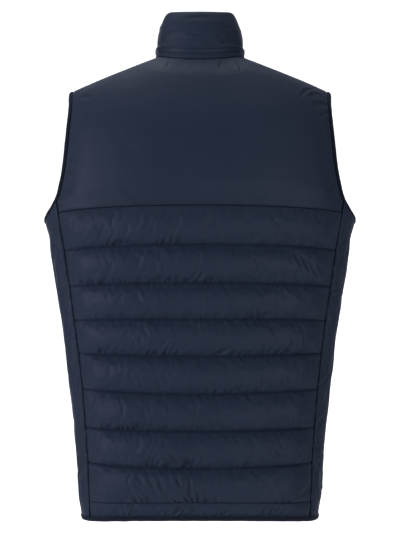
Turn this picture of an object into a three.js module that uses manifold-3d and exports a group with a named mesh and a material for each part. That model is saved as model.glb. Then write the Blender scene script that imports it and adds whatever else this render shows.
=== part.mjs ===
// A padded vest filled out as if worn: back yoke, quilted back, side panels, fronts, stand collar,
// narrow bindings round the armholes and the hem, and a zip up the front.
// Millimetres. +Z is up, the front faces -Y and the wearer's left is +X.
// The origin is midway between the shoulders, level with the inner face of the shoulder seams.
import * as THREE from "three";
import { mergeVertices } from "three/addons/utils/BufferGeometryUtils.js";
import Module from "manifold-3d";

const wasm = await Module();
wasm.setup();

// Cloth
const seamGap = 0.3; // between two pieces at a seam
const flatWall = 3; // where the padding is stitched down
const yokeWall = 8;
const sideWall = 6;
const casingWall = 5;
const fadeReach = 22; // how far a channel takes to fill out from a seam across it
const swellReach = 38; // and how far a plain panel takes
const puffPower = 0.6; // below 1 the channels are fuller at their edges
const unevenness = { deep: 0.07, waves: 7, shift: 1.9 }; // of the padding along the channels

// Inner face of the body in level sections, from the hem up: half the width, how far it
// reaches behind and in front, and how square it is, where 2 is an ellipse.
const sections = [
  { z: -690, side: 171.5, back: 93, front: 96, square: 3.3 },
  { z: -665, side: 174, back: 95, front: 98, square: 3.2 },
  { z: -630, side: 176.5, back: 97, front: 101, square: 2.9 },
  { z: -560, side: 183, back: 93, front: 103, square: 2.6 },
  { z: -485, side: 193, back: 88, front: 102, square: 2.45 },
  { z: -416, side: 202, back: 88, front: 102, square: 2.4 },
  { z: -360, side: 211, back: 93, front: 104, square: 2.35 },
  { z: -300, side: 221.5, back: 100, front: 108, square: 2.35 },
  { z: -262, side: 228.5, back: 104.5, front: 111, square: 2.35 },
  { z: -226, side: 238.5, back: 107, front: 112, square: 2.35 },
  { z: -195, side: 234, back: 107.5, front: 111.5, square: 2.35 },
  { z: -160, side: 230, back: 107, front: 110, square: 2.35 },
  { z: -110, side: 224, back: 102, front: 104, square: 2.35 },
  { z: -60, side: 216, back: 92, front: 90, square: 2.35 },
  { z: -25, side: 211, back: 86, front: 79, square: 2.35 },
  { z: 15, side: 206, back: 80.5, front: 69, square: 2.35 },
  { z: 60, side: 202, back: 75, front: 60, square: 2.35 },
];
// Shoulder line, from the neck to its tip. Its ridge is rounded off within ridge of the middle.
const shoulder = { neckX: 68, neckZ: 26.5, slope: 0.4, tipX: 199, ridge: 40 };
const arch = { from: -110, power: 2.3 }; // the body closes over from this height to the shoulder line

// Side seams, the same behind and in front.
const sideSeam = [
  { z: -690, x: 156.5 },
  { z: -646, x: 158 },
  { z: -591.5, x: 161.5 },
  { z: -541.5, x: 166 },
  { z: -486, x: 172 },
  { z: -434, x: 178.5 },
  { z: -385, x: 185.5 },
  { z: -334.5, x: 193 },
  { z: -281, x: 201 },
  { z: -225, x: 211 },
  { z: -190, x: 216 },
];
// Stitched lines from the yoke seam down: height at the middle and at the side seam, and
// how thick the padding stands below each.
const quiltLines = [
  { middle: -222, end: -225, crest: 12 },
  { middle: -278, end: -281, crest: 12.5 },
  { middle: -333, end: -334.5, crest: 12 },
  { middle: -385, end: -385, crest: 12 },
  { middle: -438, end: -434, crest: 12.5 },
  { middle: -492, end: -486, crest: 12 },
  { middle: -544, end: -541.5, crest: 12.5 },
  { middle: -595, end: -591.5, crest: 11 },
  { middle: -641, end: -646, crest: casingWall },
];
const hem = { back: -661, side: -670, front: -662 };

// Cut edge of the armhole on the inner face, from the back of the shoulder tip down and round
// to its front: turn is the angle from the side, behind it and then ahead of it.
const armhole = [
  { turn: 26.9, z: -58 },
  { turn: 30.7, z: -111 },
  { turn: 31.2, z: -162 },
  { turn: 29.4, z: -192 },
  { turn: 27.2, z: -209.6 },
  { turn: 22.4, z: -222 },
  { turn: 13, z: -231 },
  { turn: 0, z: -234 },
  { turn: -14, z: -230 },
  { turn: -25, z: -219 },
  { turn: -31, z: -205 },
  { turn: -36, z: -183 },
  { turn: -38, z: -155 },
  { turn: -37.2, z: -111 },
  { turn: -31, z: -58 },
];
const neck = { side: 68, back: 57, front: 80, square: 2.2 };

// Collar: how far its wall leans inwards for each millimetre it rises, and how tall it is, by
// the angle from the side, with a row past each middle so that it runs through it evenly.
const collarShape = [
  { turn: -135, lean: 0.1, tall: 71 },
  { turn: -90, lean: -0.06, tall: 70 },
  { turn: -45, lean: 0.1, tall: 71 },
  { turn: 0, lean: 0.25, tall: 75 },
  { turn: 45, lean: 0.22, tall: 79.5 },
  { turn: 90, lean: 0.15, tall: 80.5 },
  { turn: 135, lean: 0.22, tall: 79.5 },
];
// Its stitched lines, how thick the padding stands above each, and the places between it and the next
const collarLines = [
  { height: 0, crest: 4.2, parts: [0, 0.5] },
  { height: 11, crest: 7, parts: [0, 0.2, 0.5, 0.8] },
  { height: 25, crest: 9, parts: [0, 0.1, 0.25, 0.5, 0.75, 0.9, 0.97] },
];
const collarTopWall = 4.5;
const collarStitchedWall = 5;
const collarDegree = 1.2; // millimetres of its foot in a degree of turn

// Bindings: how wide, and how far each stands in and out from the inner face. Their section
// runs across from the edge they cover and deep from the inside out.
const armholeBinding = { wide: 7.2, inside: -0.7, outside: 3.9 };
const hemBinding = { wide: 6.4, inside: -0.8, outside: 4 };
const bindingOutline = [
  { across: 0, deep: 0.1 },
  { across: 0, deep: 0.88 },
  { across: 0.3, deep: 1 },
  { across: 0.75, deep: 0.88 },
  { across: 1, deep: 0.45 },
  { across: 0.7, deep: 0 },
];

// Zip
const zipHalf = 9; // centre line to the cut edge of each front
const zipBend = 26; // how far from the neck seam it starts and ends its turn up into the collar
const zipBelowTop = 2; // its top end to the top of the collar
const zipSteps = { front: 24, bend: 6, collar: 5 };
const tape = { inner: 3.1, low: 0.3, thick: 1.2 };
const chain = { half: 2.8, low: -0.6, high: 3.2 };
const zipBox = { half: 2.8, long: 9, low: -0.9, high: 3.6 };
const slider = {
  half: 4.4, topHalf: 3, long: 13, plate: 1.7, front: 3.5, back: -2.9, post: 2.2, postLong: 4.6,
};
const ears = { gap: 1.9, thick: 1.1, radius: 1.9, pin: 0.7, stand: 2.5, down: 5 };
const pull = { hole: 1.05, knuckle: 1.75, half: 1.6, tabHalf: 3.6, tabTop: 6, long: 31, thick: 1.5 };
const plateCorner = { round: 1.6, shoulder: 0.35 };
const bite = 0.3; // how far joined pieces of metal run into each other
const roundSides = 16;

// Places across a half panel, from the centre line to its outer edge
const neckShare = 0.36;
const halfColumns = [0, 0.06, 0.12, 0.18, 0.24, 0.3, 0.36, 0.46, 0.56, 0.66, 0.75, 0.83, 0.9, 0.96, 1];
const wholeColumns = [...halfColumns.slice(1).reverse().map((s) => -s), ...halfColumns];
const sideColumns = [0, 0.08, 0.18, 0.29, 0.4, 0.5, 0.6, 0.71, 0.82, 0.92, 1];
// Places up the chest and the yoke, closer where the shoulder turns over
const seamShare = 0.07; // the side seam's part of a chest panel's outer edge
const chestRows = [0, seamShare, 0.14, 0.23, 0.34, 0.46, 0.58, 0.69, 0.79, 0.87, 0.93, 0.968, 0.99, 1];
const neckFan = { reach: 14, rows: 0.12, power: 0.6 };
const puffRows = [0, 0.16, 0.5, 0.84];
const casingRows = [0, 0.5];
const chestHeight = 235; // about, from the yoke line to the shoulder
const sideWidth = 150; // about, round the body

const lerp = THREE.MathUtils.lerp;
const radians = THREE.MathUtils.degToRad;
const signedPower = (v, p) => Math.sign(v) * Math.abs(v) ** p;

// A table's column read at any place along another of its columns, smooth through each row.
function readTable(rows, along, at, column) {
  const last = rows.length - 1;
  const place = THREE.MathUtils.clamp(at, rows[0][along], rows[last][along]);
  let i = 0;
  while (i < last - 1 && rows[i + 1][along] < place) i++;
  const slope = (k) => {
    const a = rows[Math.max(k - 1, 0)];
    const b = rows[Math.min(k + 1, last)];
    return (b[column] - a[column]) / (b[along] - a[along]);
  };
  const span = rows[i + 1][along] - rows[i][along];
  const f = (place - rows[i][along]) / span;
  const easeIn = f * f * (3 - 2 * f);
  const leave = f * (1 - f) ** 2 * span * slope(i);
  const arrive = f * f * (f - 1) * span * slope(i + 1);
  return lerp(rows[i][column], rows[i + 1][column], easeIn) + leave + arrive;
}

// Root of a function that changes sign between two places.
function crossing(low, high, f) {
  const rising = f(high) > f(low);
  for (let i = 0; i < 60; i++) {
    const middle = (low + high) / 2;
    if (f(middle) > 0 === rising) high = middle;
    else low = middle;
  }
  return (low + high) / 2;
}

// Body form
function sectionAt(z) {
  const read = (column) => readTable(sections, "z", z, column);
  return { side: read("side"), back: read("back"), front: read("front"), square: read("square") };
}

function shoulderZ(x) {
  const rounded = (x ** 2 / shoulder.ridge + shoulder.ridge) / 2;
  const out = Math.abs(x) < shoulder.ridge ? rounded : Math.abs(x);
  return shoulder.neckZ - shoulder.slope * (out - shoulder.neckX);
}

const archShare = (x, z) => Math.max(0, (z - arch.from) / (shoulderZ(x) - arch.from));
const archDepth = (x, z) => Math.max(0, 1 - archShare(x, z) ** arch.power) ** (1 / arch.power);

// Point of the inner face by its place in the front view; face is 1 behind and -1 in front.
function facePoint(x, z, face) {
  const s = sectionAt(z);
  const across = Math.max(0, 1 - Math.abs(x / s.side) ** s.square) ** (1 / s.square);
  const deep = face > 0 ? s.back : s.front;
  return new THREE.Vector3(x, face * deep * across * archDepth(x, z), z);
}

// Point of the inner face by its angle from the left side, in degrees.
function turnPoint(turn, z) {
  const s = sectionAt(z);
  const x = s.side * signedPower(Math.cos(radians(turn)), 2 / s.square);
  const deep = turn < 0 ? s.front : s.back;
  const y = deep * signedPower(Math.sin(radians(turn)), 2 / s.square) * archDepth(x, z);
  return new THREE.Vector3(x, y, z);
}

// Angle of a place on the side of the body by how far out it is.
function turnAt(x, z) {
  const s = sectionAt(z);
  return THREE.MathUtils.radToDeg(Math.acos((x / s.side) ** (s.square / 2)));
}

// Way out of the body at a point of its inner face.
function outward(p) {
  const over = p.z > arch.from;
  const level = (x, y, z) => {
    const s = sectionAt(z);
    const deep = Math.abs(y) / (y < 0 ? s.front : s.back);
    if (!over) return Math.abs(x / s.side) ** s.square + deep ** s.square;
    const across = (1 - Math.abs(x / s.side) ** s.square) ** (1 / s.square);
    return (deep / across) ** arch.power + archShare(x, z) ** arch.power;
  };
  const nudge = 0.05;
  return new THREE.Vector3(
    level(p.x + nudge, p.y, p.z) - level(p.x - nudge, p.y, p.z),
    level(p.x, p.y + nudge, p.z) - level(p.x, p.y - nudge, p.z),
    level(p.x, p.y, p.z + nudge) - level(p.x, p.y, p.z - nudge),
  ).normalize();
}

// Seam lines
const sideSeamX = (z) => readTable(sideSeam, "z", z, "x");

function hemZ(x, face) {
  const s = sectionAt(hem.side);
  const round = Math.abs(x / s.side) ** s.square;
  return lerp(face > 0 ? hem.back : hem.front, hem.side, round);
}

// Height of a place in the quilting: line counts down from the yoke seam, part from 0 to 1 below it.
function quiltZ(s, line, part, face) {
  const heightOf = (k) =>
    k < quiltLines.length
      ? lerp(quiltLines[k].middle, quiltLines[k].end, s * s)
      : hemZ(s * sideSeamX(hem.side), face);
  return lerp(heightOf(line), heightOf(line + 1), part);
}

const tipZ = shoulderZ(shoulder.tipX);
const tipTurn = turnAt(shoulder.tipX, tipZ);
const degreeReach = 3.8; // millimetres that a degree of turn is about worth at the armhole
const armholePath = [{ turn: tipTurn, z: tipZ, run: 0 }];
for (const { turn, z } of [...armhole, { turn: -tipTurn, z: tipZ }]) {
  const before = armholePath.at(-1);
  const step = Math.hypot((turn - before.turn) * degreeReach, z - before.z);
  armholePath.push({ turn, z, run: before.run + step });
}
const armholeFoot = armholePath.find((row) => row.turn === 0).run;
const armholeLength = armholePath.at(-1).run;
const armholePlace = (run) => ({
  turn: readTable(armholePath, "run", run, "turn"),
  z: readTable(armholePath, "run", run, "z"),
});
function armholePoint(run) {
  const { turn, z } = armholePlace(run);
  return turnPoint(turn, z);
}
// Where the side seams run into the armhole
const beyondSeam = (run) => {
  const p = armholePoint(run);
  return p.x - sideSeamX(p.z);
};
const backCrossing = crossing(armholeFoot / 2, armholeFoot, beyondSeam);
const frontCrossing = crossing(armholeFoot, (armholeFoot + armholeLength) / 2, beyondSeam);

function neckPoint(turn) {
  const x = neck.side * signedPower(Math.cos(radians(turn)), 2 / neck.square);
  const face = turn < 0 || turn > 180 ? -1 : 1;
  const reach = face > 0 ? neck.back : neck.front;
  const y = reach * Math.abs(Math.sin(radians(turn))) ** (2 / neck.square);
  const short = (z) => Math.abs(facePoint(x, z, face).y) - y;
  return new THREE.Vector3(x, face * y, crossing(arch.from, shoulderZ(x), short));
}
// Where the neck seam ends, at each front's cut edge
const zipTurn = -THREE.MathUtils.radToDeg(Math.acos((zipHalf / neck.side) ** (neck.square / 2)));

// Collar form
function collarFrame(turn) {
  const folded = turn > 90 ? 180 - turn : turn;
  const lean = readTable(collarShape, "turn", folded, "lean");
  const step = 0.5;
  const along = neckPoint(turn + step).sub(neckPoint(turn - step)).setZ(0).normalize();
  const out = new THREE.Vector3(along.y, -along.x, 0);
  const rise = new THREE.Vector3(0, 0, 1).addScaledVector(out, -lean).normalize();
  const normal = out.clone().multiplyScalar(rise.z).add(new THREE.Vector3(0, 0, lean * rise.z));
  const tall = readTable(collarShape, "turn", folded, "tall");
  return { foot: neckPoint(turn), rise, normal: normal.normalize(), tall };
}

// Direction of the end faces where the body's wall and the collar's meet, long enough
// that a wall of thickness 1 keeps it.
function mitre(bodyNormal, collarNormal) {
  const middle = bodyNormal.clone().add(collarNormal).normalize();
  return middle.divideScalar(middle.dot(collarNormal));
}

// Padding
function fillAt(distance) {
  const share = Math.min(1, Math.max(0, distance) / fadeReach);
  return Math.sqrt(1 - (1 - share) ** 2);
}
const swellAt = (distance) => THREE.MathUtils.smoothstep(distance, 0, swellReach);
const puffAt = (part) => Math.sin(Math.PI * part) ** puffPower;

// Mesh building
const materials = {
  shell: new THREE.MeshStandardMaterial({ color: 0x28303f, roughness: 0.62, metalness: 0 }),
  binding: new THREE.MeshStandardMaterial({ color: 0x1c2233, roughness: 0.8, metalness: 0 }),
  tape: new THREE.MeshStandardMaterial({ color: 0x1b2130, roughness: 0.9, metalness: 0 }),
  teeth: new THREE.MeshStandardMaterial({ color: 0x20283a, roughness: 0.45, metalness: 0 }),
  metal: new THREE.MeshStandardMaterial({ color: 0x2a2f3a, roughness: 0.35, metalness: 0.8 }),
};

const vest = new THREE.Group();

function addMesh(name, material, geometry) {
  const mesh = new THREE.Mesh(geometry, material);
  mesh.name = name;
  vest.add(mesh);
  return mesh;
}

// A closed mesh from points and triangles, turned so that its faces point out.
function closedGeometry(points, triangles) {
  let volume = 0;
  const cross = new THREE.Vector3();
  for (const [a, b, c] of triangles) volume += points[a].dot(cross.crossVectors(points[b], points[c]));
  const faces = volume < 0 ? triangles.map(([a, b, c]) => [a, c, b]) : triangles;
  const geometry = new THREE.BufferGeometry().setFromPoints(points);
  geometry.setIndex(faces.flat());
  geometry.computeVertexNormals();
  return geometry;
}

// Triangles between two rows of points that start and end together; each holds {at, id}.
function lace(first, second) {
  const triangles = [];
  let i = 0;
  let j = 0;
  while (i < first.length - 1 || j < second.length - 1) {
    const stepFirst =
      j === second.length - 1 ||
      (i < first.length - 1 && first[i + 1].at <= second[j + 1].at);
    if (stepFirst) triangles.push([first[i].id, first[++i].id, second[j].id]);
    else triangles.push([second[j].id, first[i].id, second[++j].id]);
  }
  return triangles;
}

// Moves a panel's edge points back from the seam, along the panel.
function insetEdge(edge, inside, amount) {
  const back = edge.map((place, i) => {
    const before = edge[Math.max(i - 1, 0)].p;
    const after = edge[Math.min(i + 1, edge.length - 1)].p;
    return after.clone().sub(before).cross(place.n).normalize();
  });
  const inwards = edge.reduce((sum, place, i) => sum + back[i].dot(inside[i].p.clone().sub(place.p)), 0);
  edge.forEach((place, i) => place.p.addScaledVector(back[i], Math.sign(inwards) * amount));
}

// A wall over a grid of places. placeAt gives the point p of the inner face, the way out n
// and, where the end face slants, end. The plain inside keeps only some of the rows.
function wallGeometry({ columns, rows, placeAt, wallAt, plainRows, insets }) {
  const grid = rows.map((row) => columns.map((column) => placeAt(column, row)));
  const last = { row: rows.length - 1, column: columns.length - 1 };
  const columnOf = (c) => grid.map((line) => line[c]);
  insetEdge(grid[0], grid[1], insets.bottom);
  insetEdge(grid[last.row], grid[last.row - 1], insets.top);
  insetEdge(columnOf(0), columnOf(1), insets.start);
  insetEdge(columnOf(last.column), columnOf(last.column - 1), insets.finish);
  const points = [];
  const keep = (p) => points.push(p) - 1;
  const outer = grid.map((line, r) =>
    line.map((place, c) =>
      keep(place.p.clone().addScaledVector(place.end ?? place.n, wallAt(columns[c], rows[r]))),
    ),
  );
  const inner = new Map(plainRows.map((r) => [r, grid[r].map((place) => keep(place.p))]));
  const triangles = [];
  const face = (low, high, turned) => {
    for (let c = 0; c < last.column; c++) {
      const quad = [low[c], low[c + 1], high[c + 1], high[c]];
      if (turned) quad.reverse();
      triangles.push([quad[0], quad[1], quad[2]], [quad[0], quad[2], quad[3]]);
    }
  };
  for (let r = 0; r < last.row; r++) face(outer[r], outer[r + 1], false);
  for (let k = 0; k + 1 < plainRows.length; k++) {
    face(inner.get(plainRows[k]), inner.get(plainRows[k + 1]), true);
  }
  face(inner.get(0), outer[0], false);
  face(outer[last.row], inner.get(last.row), false);
  const outerSide = (c) => outer.map((line, r) => ({ at: r, id: line[c] }));
  const innerSide = (c) => plainRows.map((r) => ({ at: r, id: inner.get(r)[c] }));
  triangles.push(...lace(outerSide(0), innerSide(0)));
  triangles.push(...lace(innerSide(last.column), outerSide(last.column)));
  return closedGeometry(points, triangles);
}

// A strip with one section carried along frames of a point p, a way across e and a way out n.
function stripGeometry(frames, section, loop) {
  const points = frames.flatMap(({ p, e, n }) =>
    section.map(([across, out]) => p.clone().addScaledVector(e, across).addScaledVector(n, out)),
  );
  const size = section.length;
  const spans = loop ? frames.length : frames.length - 1;
  const triangles = [];
  for (let i = 0; i < spans; i++) {
    const a = i * size;
    const b = ((i + 1) % frames.length) * size;
    for (let k = 0; k < size; k++) {
      const m = (k + 1) % size;
      triangles.push([a + k, a + m, b + m], [a + k, b + m, b + k]);
    }
  }
  if (!loop) {
    const end = (frames.length - 1) * size;
    for (let k = 1; k + 1 < size; k++) triangles.push([0, k + 1, k], [end, end + k, end + k + 1]);
  }
  return closedGeometry(points, triangles);
}

const bindingSection = ({ wide, inside, outside }) =>
  bindingOutline.map(({ across, deep }) => [seamGap + wide * across, lerp(inside, outside, deep)]);

// The same piece on the wearer's right
function mirrored(geometry) {
  const source = geometry.getAttribute("position");
  const points = [];
  for (let i = 0; i < source.count; i++) {
    points.push(new THREE.Vector3(-source.getX(i), source.getY(i), source.getZ(i)));
  }
  const index = geometry.index.array;
  const triangles = [];
  for (let i = 0; i < index.length; i += 3) triangles.push([index[i], index[i + 1], index[i + 2]]);
  return closedGeometry(points, triangles);
}

function addPair(name, material, geometry) {
  addMesh(name + "_left", material, geometry);
  addMesh(name + "_right", material, mirrored(geometry));
}

// Panels. Each of the two at a seam stays back half the gap.
const setBack = seamGap / 2;

// Rows of the quilted part, from the hem up, as {line, part}.
const quiltRows = [{ line: quiltLines.length - 1, part: 1 }];
for (let line = quiltLines.length - 1; line >= 0; line--) {
  const parts = line === quiltLines.length - 1 ? casingRows : puffRows;
  for (const part of [...parts].reverse()) quiltRows.push({ line, part });
}
const isKept = ({ line, part }) => part === 0 || part === 0.5 || line === quiltLines.length - 1;
const plainQuiltRows = quiltRows.flatMap((row, i) => (isKept(row) ? [i] : []));

// The quilted part of a back or front: s runs from the middle, or the zip, to the side seam.
function quiltPlace(s, { line, part }, face) {
  const z = quiltZ(Math.abs(s), line, part, face);
  const from = face > 0 ? 0 : zipHalf;
  const x = Math.sign(s || 1) * lerp(from, sideSeamX(z), Math.abs(s));
  const p = facePoint(x, z, face);
  return { p, n: outward(p) };
}

function quiltWall(s, { line, part }, face) {
  const across = sideSeamX(quiltLines[line].end);
  const toSide = (1 - Math.abs(s)) * across;
  const toZip = face > 0 ? fadeReach : Math.abs(s) * across;
  const fill = fillAt(toSide) * fillAt(toZip);
  const loose = 1 + unevenness.deep * Math.sin(unevenness.waves * s + unevenness.shift * line);
  return lerp(flatWall, quiltLines[line].crest * loose, puffAt(part) * fill);
}

// The plain part above it: a patch between the yoke line, the centre line, the neck and shoulder
// seams, and the side seam with the armhole above it.
function chestPlace(s, t, face) {
  const from = face > 0 ? 0 : zipHalf;
  const neckFrom = face > 0 ? 90 : zipTurn;
  const below = (u) => {
    const z = quiltZ(u, 0, 0, face);
    return { x: lerp(from, sideSeamX(z), u), z };
  };
  const above = (u) => {
    if (u <= neckShare) return neckPoint(neckFrom * (1 - u / neckShare));
    const x = lerp(shoulder.neckX, shoulder.tipX, (u - neckShare) / (1 - neckShare));
    return { x, z: shoulderZ(x) };
  };
  const cross = armholePoint(face > 0 ? backCrossing : frontCrossing);
  const outside = (v) => {
    if (v <= seamShare) {
      const z = lerp(below(1).z, cross.z, v / seamShare);
      return { x: sideSeamX(z), z };
    }
    const share = (v - seamShare) / (1 - seamShare);
    const start = face > 0 ? backCrossing : frontCrossing;
    return armholePoint(lerp(start, face > 0 ? 0 : armholeLength, share));
  };
  const u = Math.abs(s);
  const corner = { foot: below(0), side: below(1), neck: above(0), tip: above(1) };
  const blend = (key) => {
    const centre = lerp(corner.foot[key], corner.neck[key], t);
    const ruled = lerp(below(u)[key], above(u)[key], t) + lerp(centre, outside(t)[key], u);
    return ruled - lerp(centre, lerp(corner.side[key], corner.tip[key], t), u);
  };
  // Below the neck's corner the columns fan out, clear of the neck seam.
  const tent = u < neckShare ? u / neckShare : (1 - u) / (1 - neckShare);
  const opened = Math.sin((Math.PI / 2) * Math.min(1, (1 - t) / neckFan.rows)) ** neckFan.power;
  const fan = neckFan.reach * tent * opened * t;
  const x = Math.sign(s || 1) * (blend("x") + fan);
  const z = blend("z") - shoulder.slope * fan;
  const p = t === 1 && u > neckShare ? new THREE.Vector3(x, 0, z) : facePoint(x, z, face);
  const place = { p, n: outward(p) };
  if (t === 1 && u <= neckShare) {
    const turn = neckFrom * (1 - u / neckShare);
    place.p = neckPoint(s < 0 ? 180 - turn : turn);
    place.n = outward(place.p);
    place.end = mitre(place.n, collarFrame(s < 0 ? 180 - turn : turn).normal);
  }
  return place;
}

function chestWall(s, t, face) {
  const across = sideSeamX(quiltLines[0].end);
  const toZip = face > 0 ? fadeReach : Math.abs(s) * across;
  const toLine = Math.min(t, 1 - t) * chestHeight;
  const fill = swellAt((1 - Math.abs(s)) * across) * fillAt(toZip) * swellAt(toLine);
  return lerp(flatWall, yokeWall, fill);
}

function addBack() {
  const insets = { bottom: 0, top: setBack, start: setBack, finish: setBack };
  addMesh("back_quilted", materials.shell, wallGeometry({
    columns: wholeColumns,
    rows: quiltRows,
    placeAt: (s, row) => quiltPlace(s, row, 1),
    wallAt: (s, row) => quiltWall(s, row, 1),
    plainRows: plainQuiltRows,
    insets,
  }));
  addMesh("back_yoke", materials.shell, wallGeometry({
    columns: wholeColumns,
    rows: chestRows,
    placeAt: (s, t) => chestPlace(s, t, 1),
    wallAt: (s, t) => chestWall(s, t, 1),
    plainRows: chestRows.map((t, i) => i),
    insets: { ...insets, bottom: setBack },
  }));
}

function addFronts() {
  const rows = [...quiltRows, ...chestRows.slice(1)];
  const isChest = (row) => typeof row === "number";
  const plainRows = [...plainQuiltRows, ...chestRows.slice(1).map((t, i) => quiltRows.length + i)];
  addPair("front", materials.shell, wallGeometry({
    columns: halfColumns,
    rows,
    placeAt: (s, row) => (isChest(row) ? chestPlace(s, row, -1) : quiltPlace(s, row, -1)),
    wallAt: (s, row) => (isChest(row) ? chestWall(s, row, -1) : quiltWall(s, row, -1)),
    plainRows,
    insets: { bottom: 0, top: setBack, start: 0, finish: setBack },
  }));
}

// Side panels: rows follow the quilting's heights along both seams, from the hem up.
const sideRows = plainQuiltRows.map((i) => quiltRows[i]);
const sideTop = { line: -1, part: 0 };

function sidePlace(s, row) {
  const edge = (face, place) => {
    const run = face > 0 ? backCrossing : frontCrossing;
    const z = place === sideTop ? armholePlace(run).z : quiltZ(1, place.line, place.part, face);
    return { turn: face * turnAt(sideSeamX(z), z), z };
  };
  const below = (u) => {
    const ends = [edge(-1, sideRows[0]), edge(1, sideRows[0])];
    const turn = lerp(ends[0].turn, ends[1].turn, u);
    const face = turn < 0 ? -1 : 1;
    return { turn, z: hemZ(turnPoint(turn, hem.side).x, face) };
  };
  const above = (u) => armholePlace(lerp(frontCrossing, backCrossing, u));
  const bottom = edge(1, sideRows[0]).z;
  const t = (edge(1, row).z - bottom) / (edge(1, sideTop).z - bottom);
  const corners = [below(0), below(1), above(0), above(1)];
  const blend = (key) => {
    const ruled = lerp(below(s)[key], above(s)[key], t) + lerp(edge(-1, row)[key], edge(1, row)[key], s);
    const [a, b, c, d] = corners.map((corner) => corner[key]);
    return ruled - lerp(lerp(a, b, s), lerp(c, d, s), t);
  };
  const p = turnPoint(blend("turn"), blend("z"));
  return { p, n: outward(p) };
}

function addSides() {
  const rows = [...sideRows, sideTop];
  const height = quiltLines[0].end - hem.side;
  const wallAt = (s, row) => {
    const up = row === sideTop ? height : quiltZ(1, row.line, row.part, 1) - hem.side;
    const across = sideWidth * Math.min(s, 1 - s);
    return lerp(flatWall, sideWall, swellAt(Math.min(up, height - up)) * fillAt(across));
  };
  addPair("side_panel", materials.shell, wallGeometry({
    columns: sideColumns,
    rows,
    placeAt: sidePlace,
    wallAt,
    plainRows: rows.map((row, i) => i),
    insets: { bottom: 0, top: 0, start: setBack, finish: setBack },
  }));
}

// Collar: columns follow the neck seam's places on the two fronts and the yoke.
function addCollar() {
  const shares = halfColumns.filter((s) => s <= neckShare).map((s) => s / neckShare);
  const frontTurns = shares.map((s) => zipTurn * (1 - s));
  const backTurns = shares.slice(0, -1).map((s) => 90 * (1 - s));
  const leftTurns = [...frontTurns, ...backTurns.reverse()];
  const columns = [...leftTurns, ...leftTurns.slice(0, -1).reverse().map((turn) => 180 - turn)];
  const rows = collarLines.flatMap(({ parts }, line) => parts.map((part) => ({ line, part })));
  rows.push({ line: collarLines.length, part: 0 });
  const heightOf = ({ line, part }, tall) => {
    const from = collarLines[line]?.height ?? tall;
    return lerp(from, collarLines[line + 1]?.height ?? tall, part);
  };
  const placeAt = (turn, row) => {
    const { foot, rise, normal, tall } = collarFrame(turn);
    const place = { p: foot.clone().addScaledVector(rise, heightOf(row, tall)), n: normal };
    if (row === rows[0]) place.end = mitre(outward(foot), normal);
    return place;
  };
  const wallAt = (turn, row) => {
    if (row.line === collarLines.length) return collarTopWall;
    const below = row.line === 0 ? flatWall : collarStitchedWall;
    const above = row.line === collarLines.length - 1 ? collarTopWall : collarStitchedWall;
    const fromZip = Math.min(turn - zipTurn, 180 - zipTurn - turn) * collarDegree;
    const crest = Math.max(collarLines[row.line].crest, below);
    const full = lerp(lerp(below, above, row.part), crest, puffAt(row.part));
    return lerp(flatWall, full, fillAt(fromZip));
  };
  addMesh("collar", materials.shell, wallGeometry({
    columns,
    rows,
    placeAt,
    wallAt,
    plainRows: rows.flatMap((row, i) => (row.part === 0 || row.part === 0.5 ? [i] : [])),
    insets: { bottom: seamGap, top: 0, start: 0, finish: 0 },
  }));
}

// Bindings
const reachingOut = (points, i, loop) => {
  const count = points.length;
  const before = loop ? points[(i + count - 1) % count] : points[Math.max(i - 1, 0)];
  const after = loop ? points[(i + 1) % count] : points[Math.min(i + 1, count - 1)];
  return after.clone().sub(before);
};

function addArmholeBindings() {
  const chestRuns = (crossRun, endRun) =>
    chestRows.filter((t) => t >= seamShare)
      .map((t) => lerp(crossRun, endRun, (t - seamShare) / (1 - seamShare)));
  const back = chestRuns(backCrossing, 0).reverse();
  const front = chestRuns(frontCrossing, armholeLength);
  const side = sideColumns.slice(1, -1).map((s) => lerp(backCrossing, frontCrossing, s));
  const runs = [...back, ...side, ...front.slice(0, -1)];
  const points = runs.map(armholePoint);
  points[0].y = 0;
  const frames = points.map((p, i) => {
    const n = outward(p);
    const e = reachingOut(points, i, true).cross(n).normalize();
    return { p, e, n };
  });
  const middle = turnPoint(0, armhole[1].z).setX(shoulder.tipX);
  frames.forEach((frame) => {
    if (frame.e.dot(middle.clone().sub(frame.p)) < 0) frame.e.negate();
  });
  const geometry = stripGeometry(frames, bindingSection(armholeBinding), true);
  addPair("armhole_binding", materials.binding, geometry);
}

function addHemBinding() {
  const row = quiltRows[0];
  const front = halfColumns.map((s) => quiltPlace(s, row, -1).p);
  const side = sideColumns.slice(1, -1).map((s) => sidePlace(s, sideRows[0]).p);
  const back = halfColumns.slice(1).reverse().map((s) => quiltPlace(s, row, 1).p);
  const left = [...front, ...side, ...back];
  const right = left.map((p) => new THREE.Vector3(-p.x, p.y, p.z)).reverse();
  const points = [...left, quiltPlace(0, row, 1).p, ...right];
  const frames = points.map((p, i) => {
    const n = outward(p);
    const e = reachingOut(points, i, false).cross(n).normalize();
    if (e.z > 0) e.negate();
    return { p, e, n };
  });
  addMesh("hem_binding", materials.binding, stripGeometry(frames, bindingSection(hemBinding), false));
}

// Zip: a path in the middle plane, up the fronts and then up the collar's ends.
const zipFoot = hemZ(zipHalf, -1) - hemBinding.wide;
const neckFrame = collarFrame(zipTurn);

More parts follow.
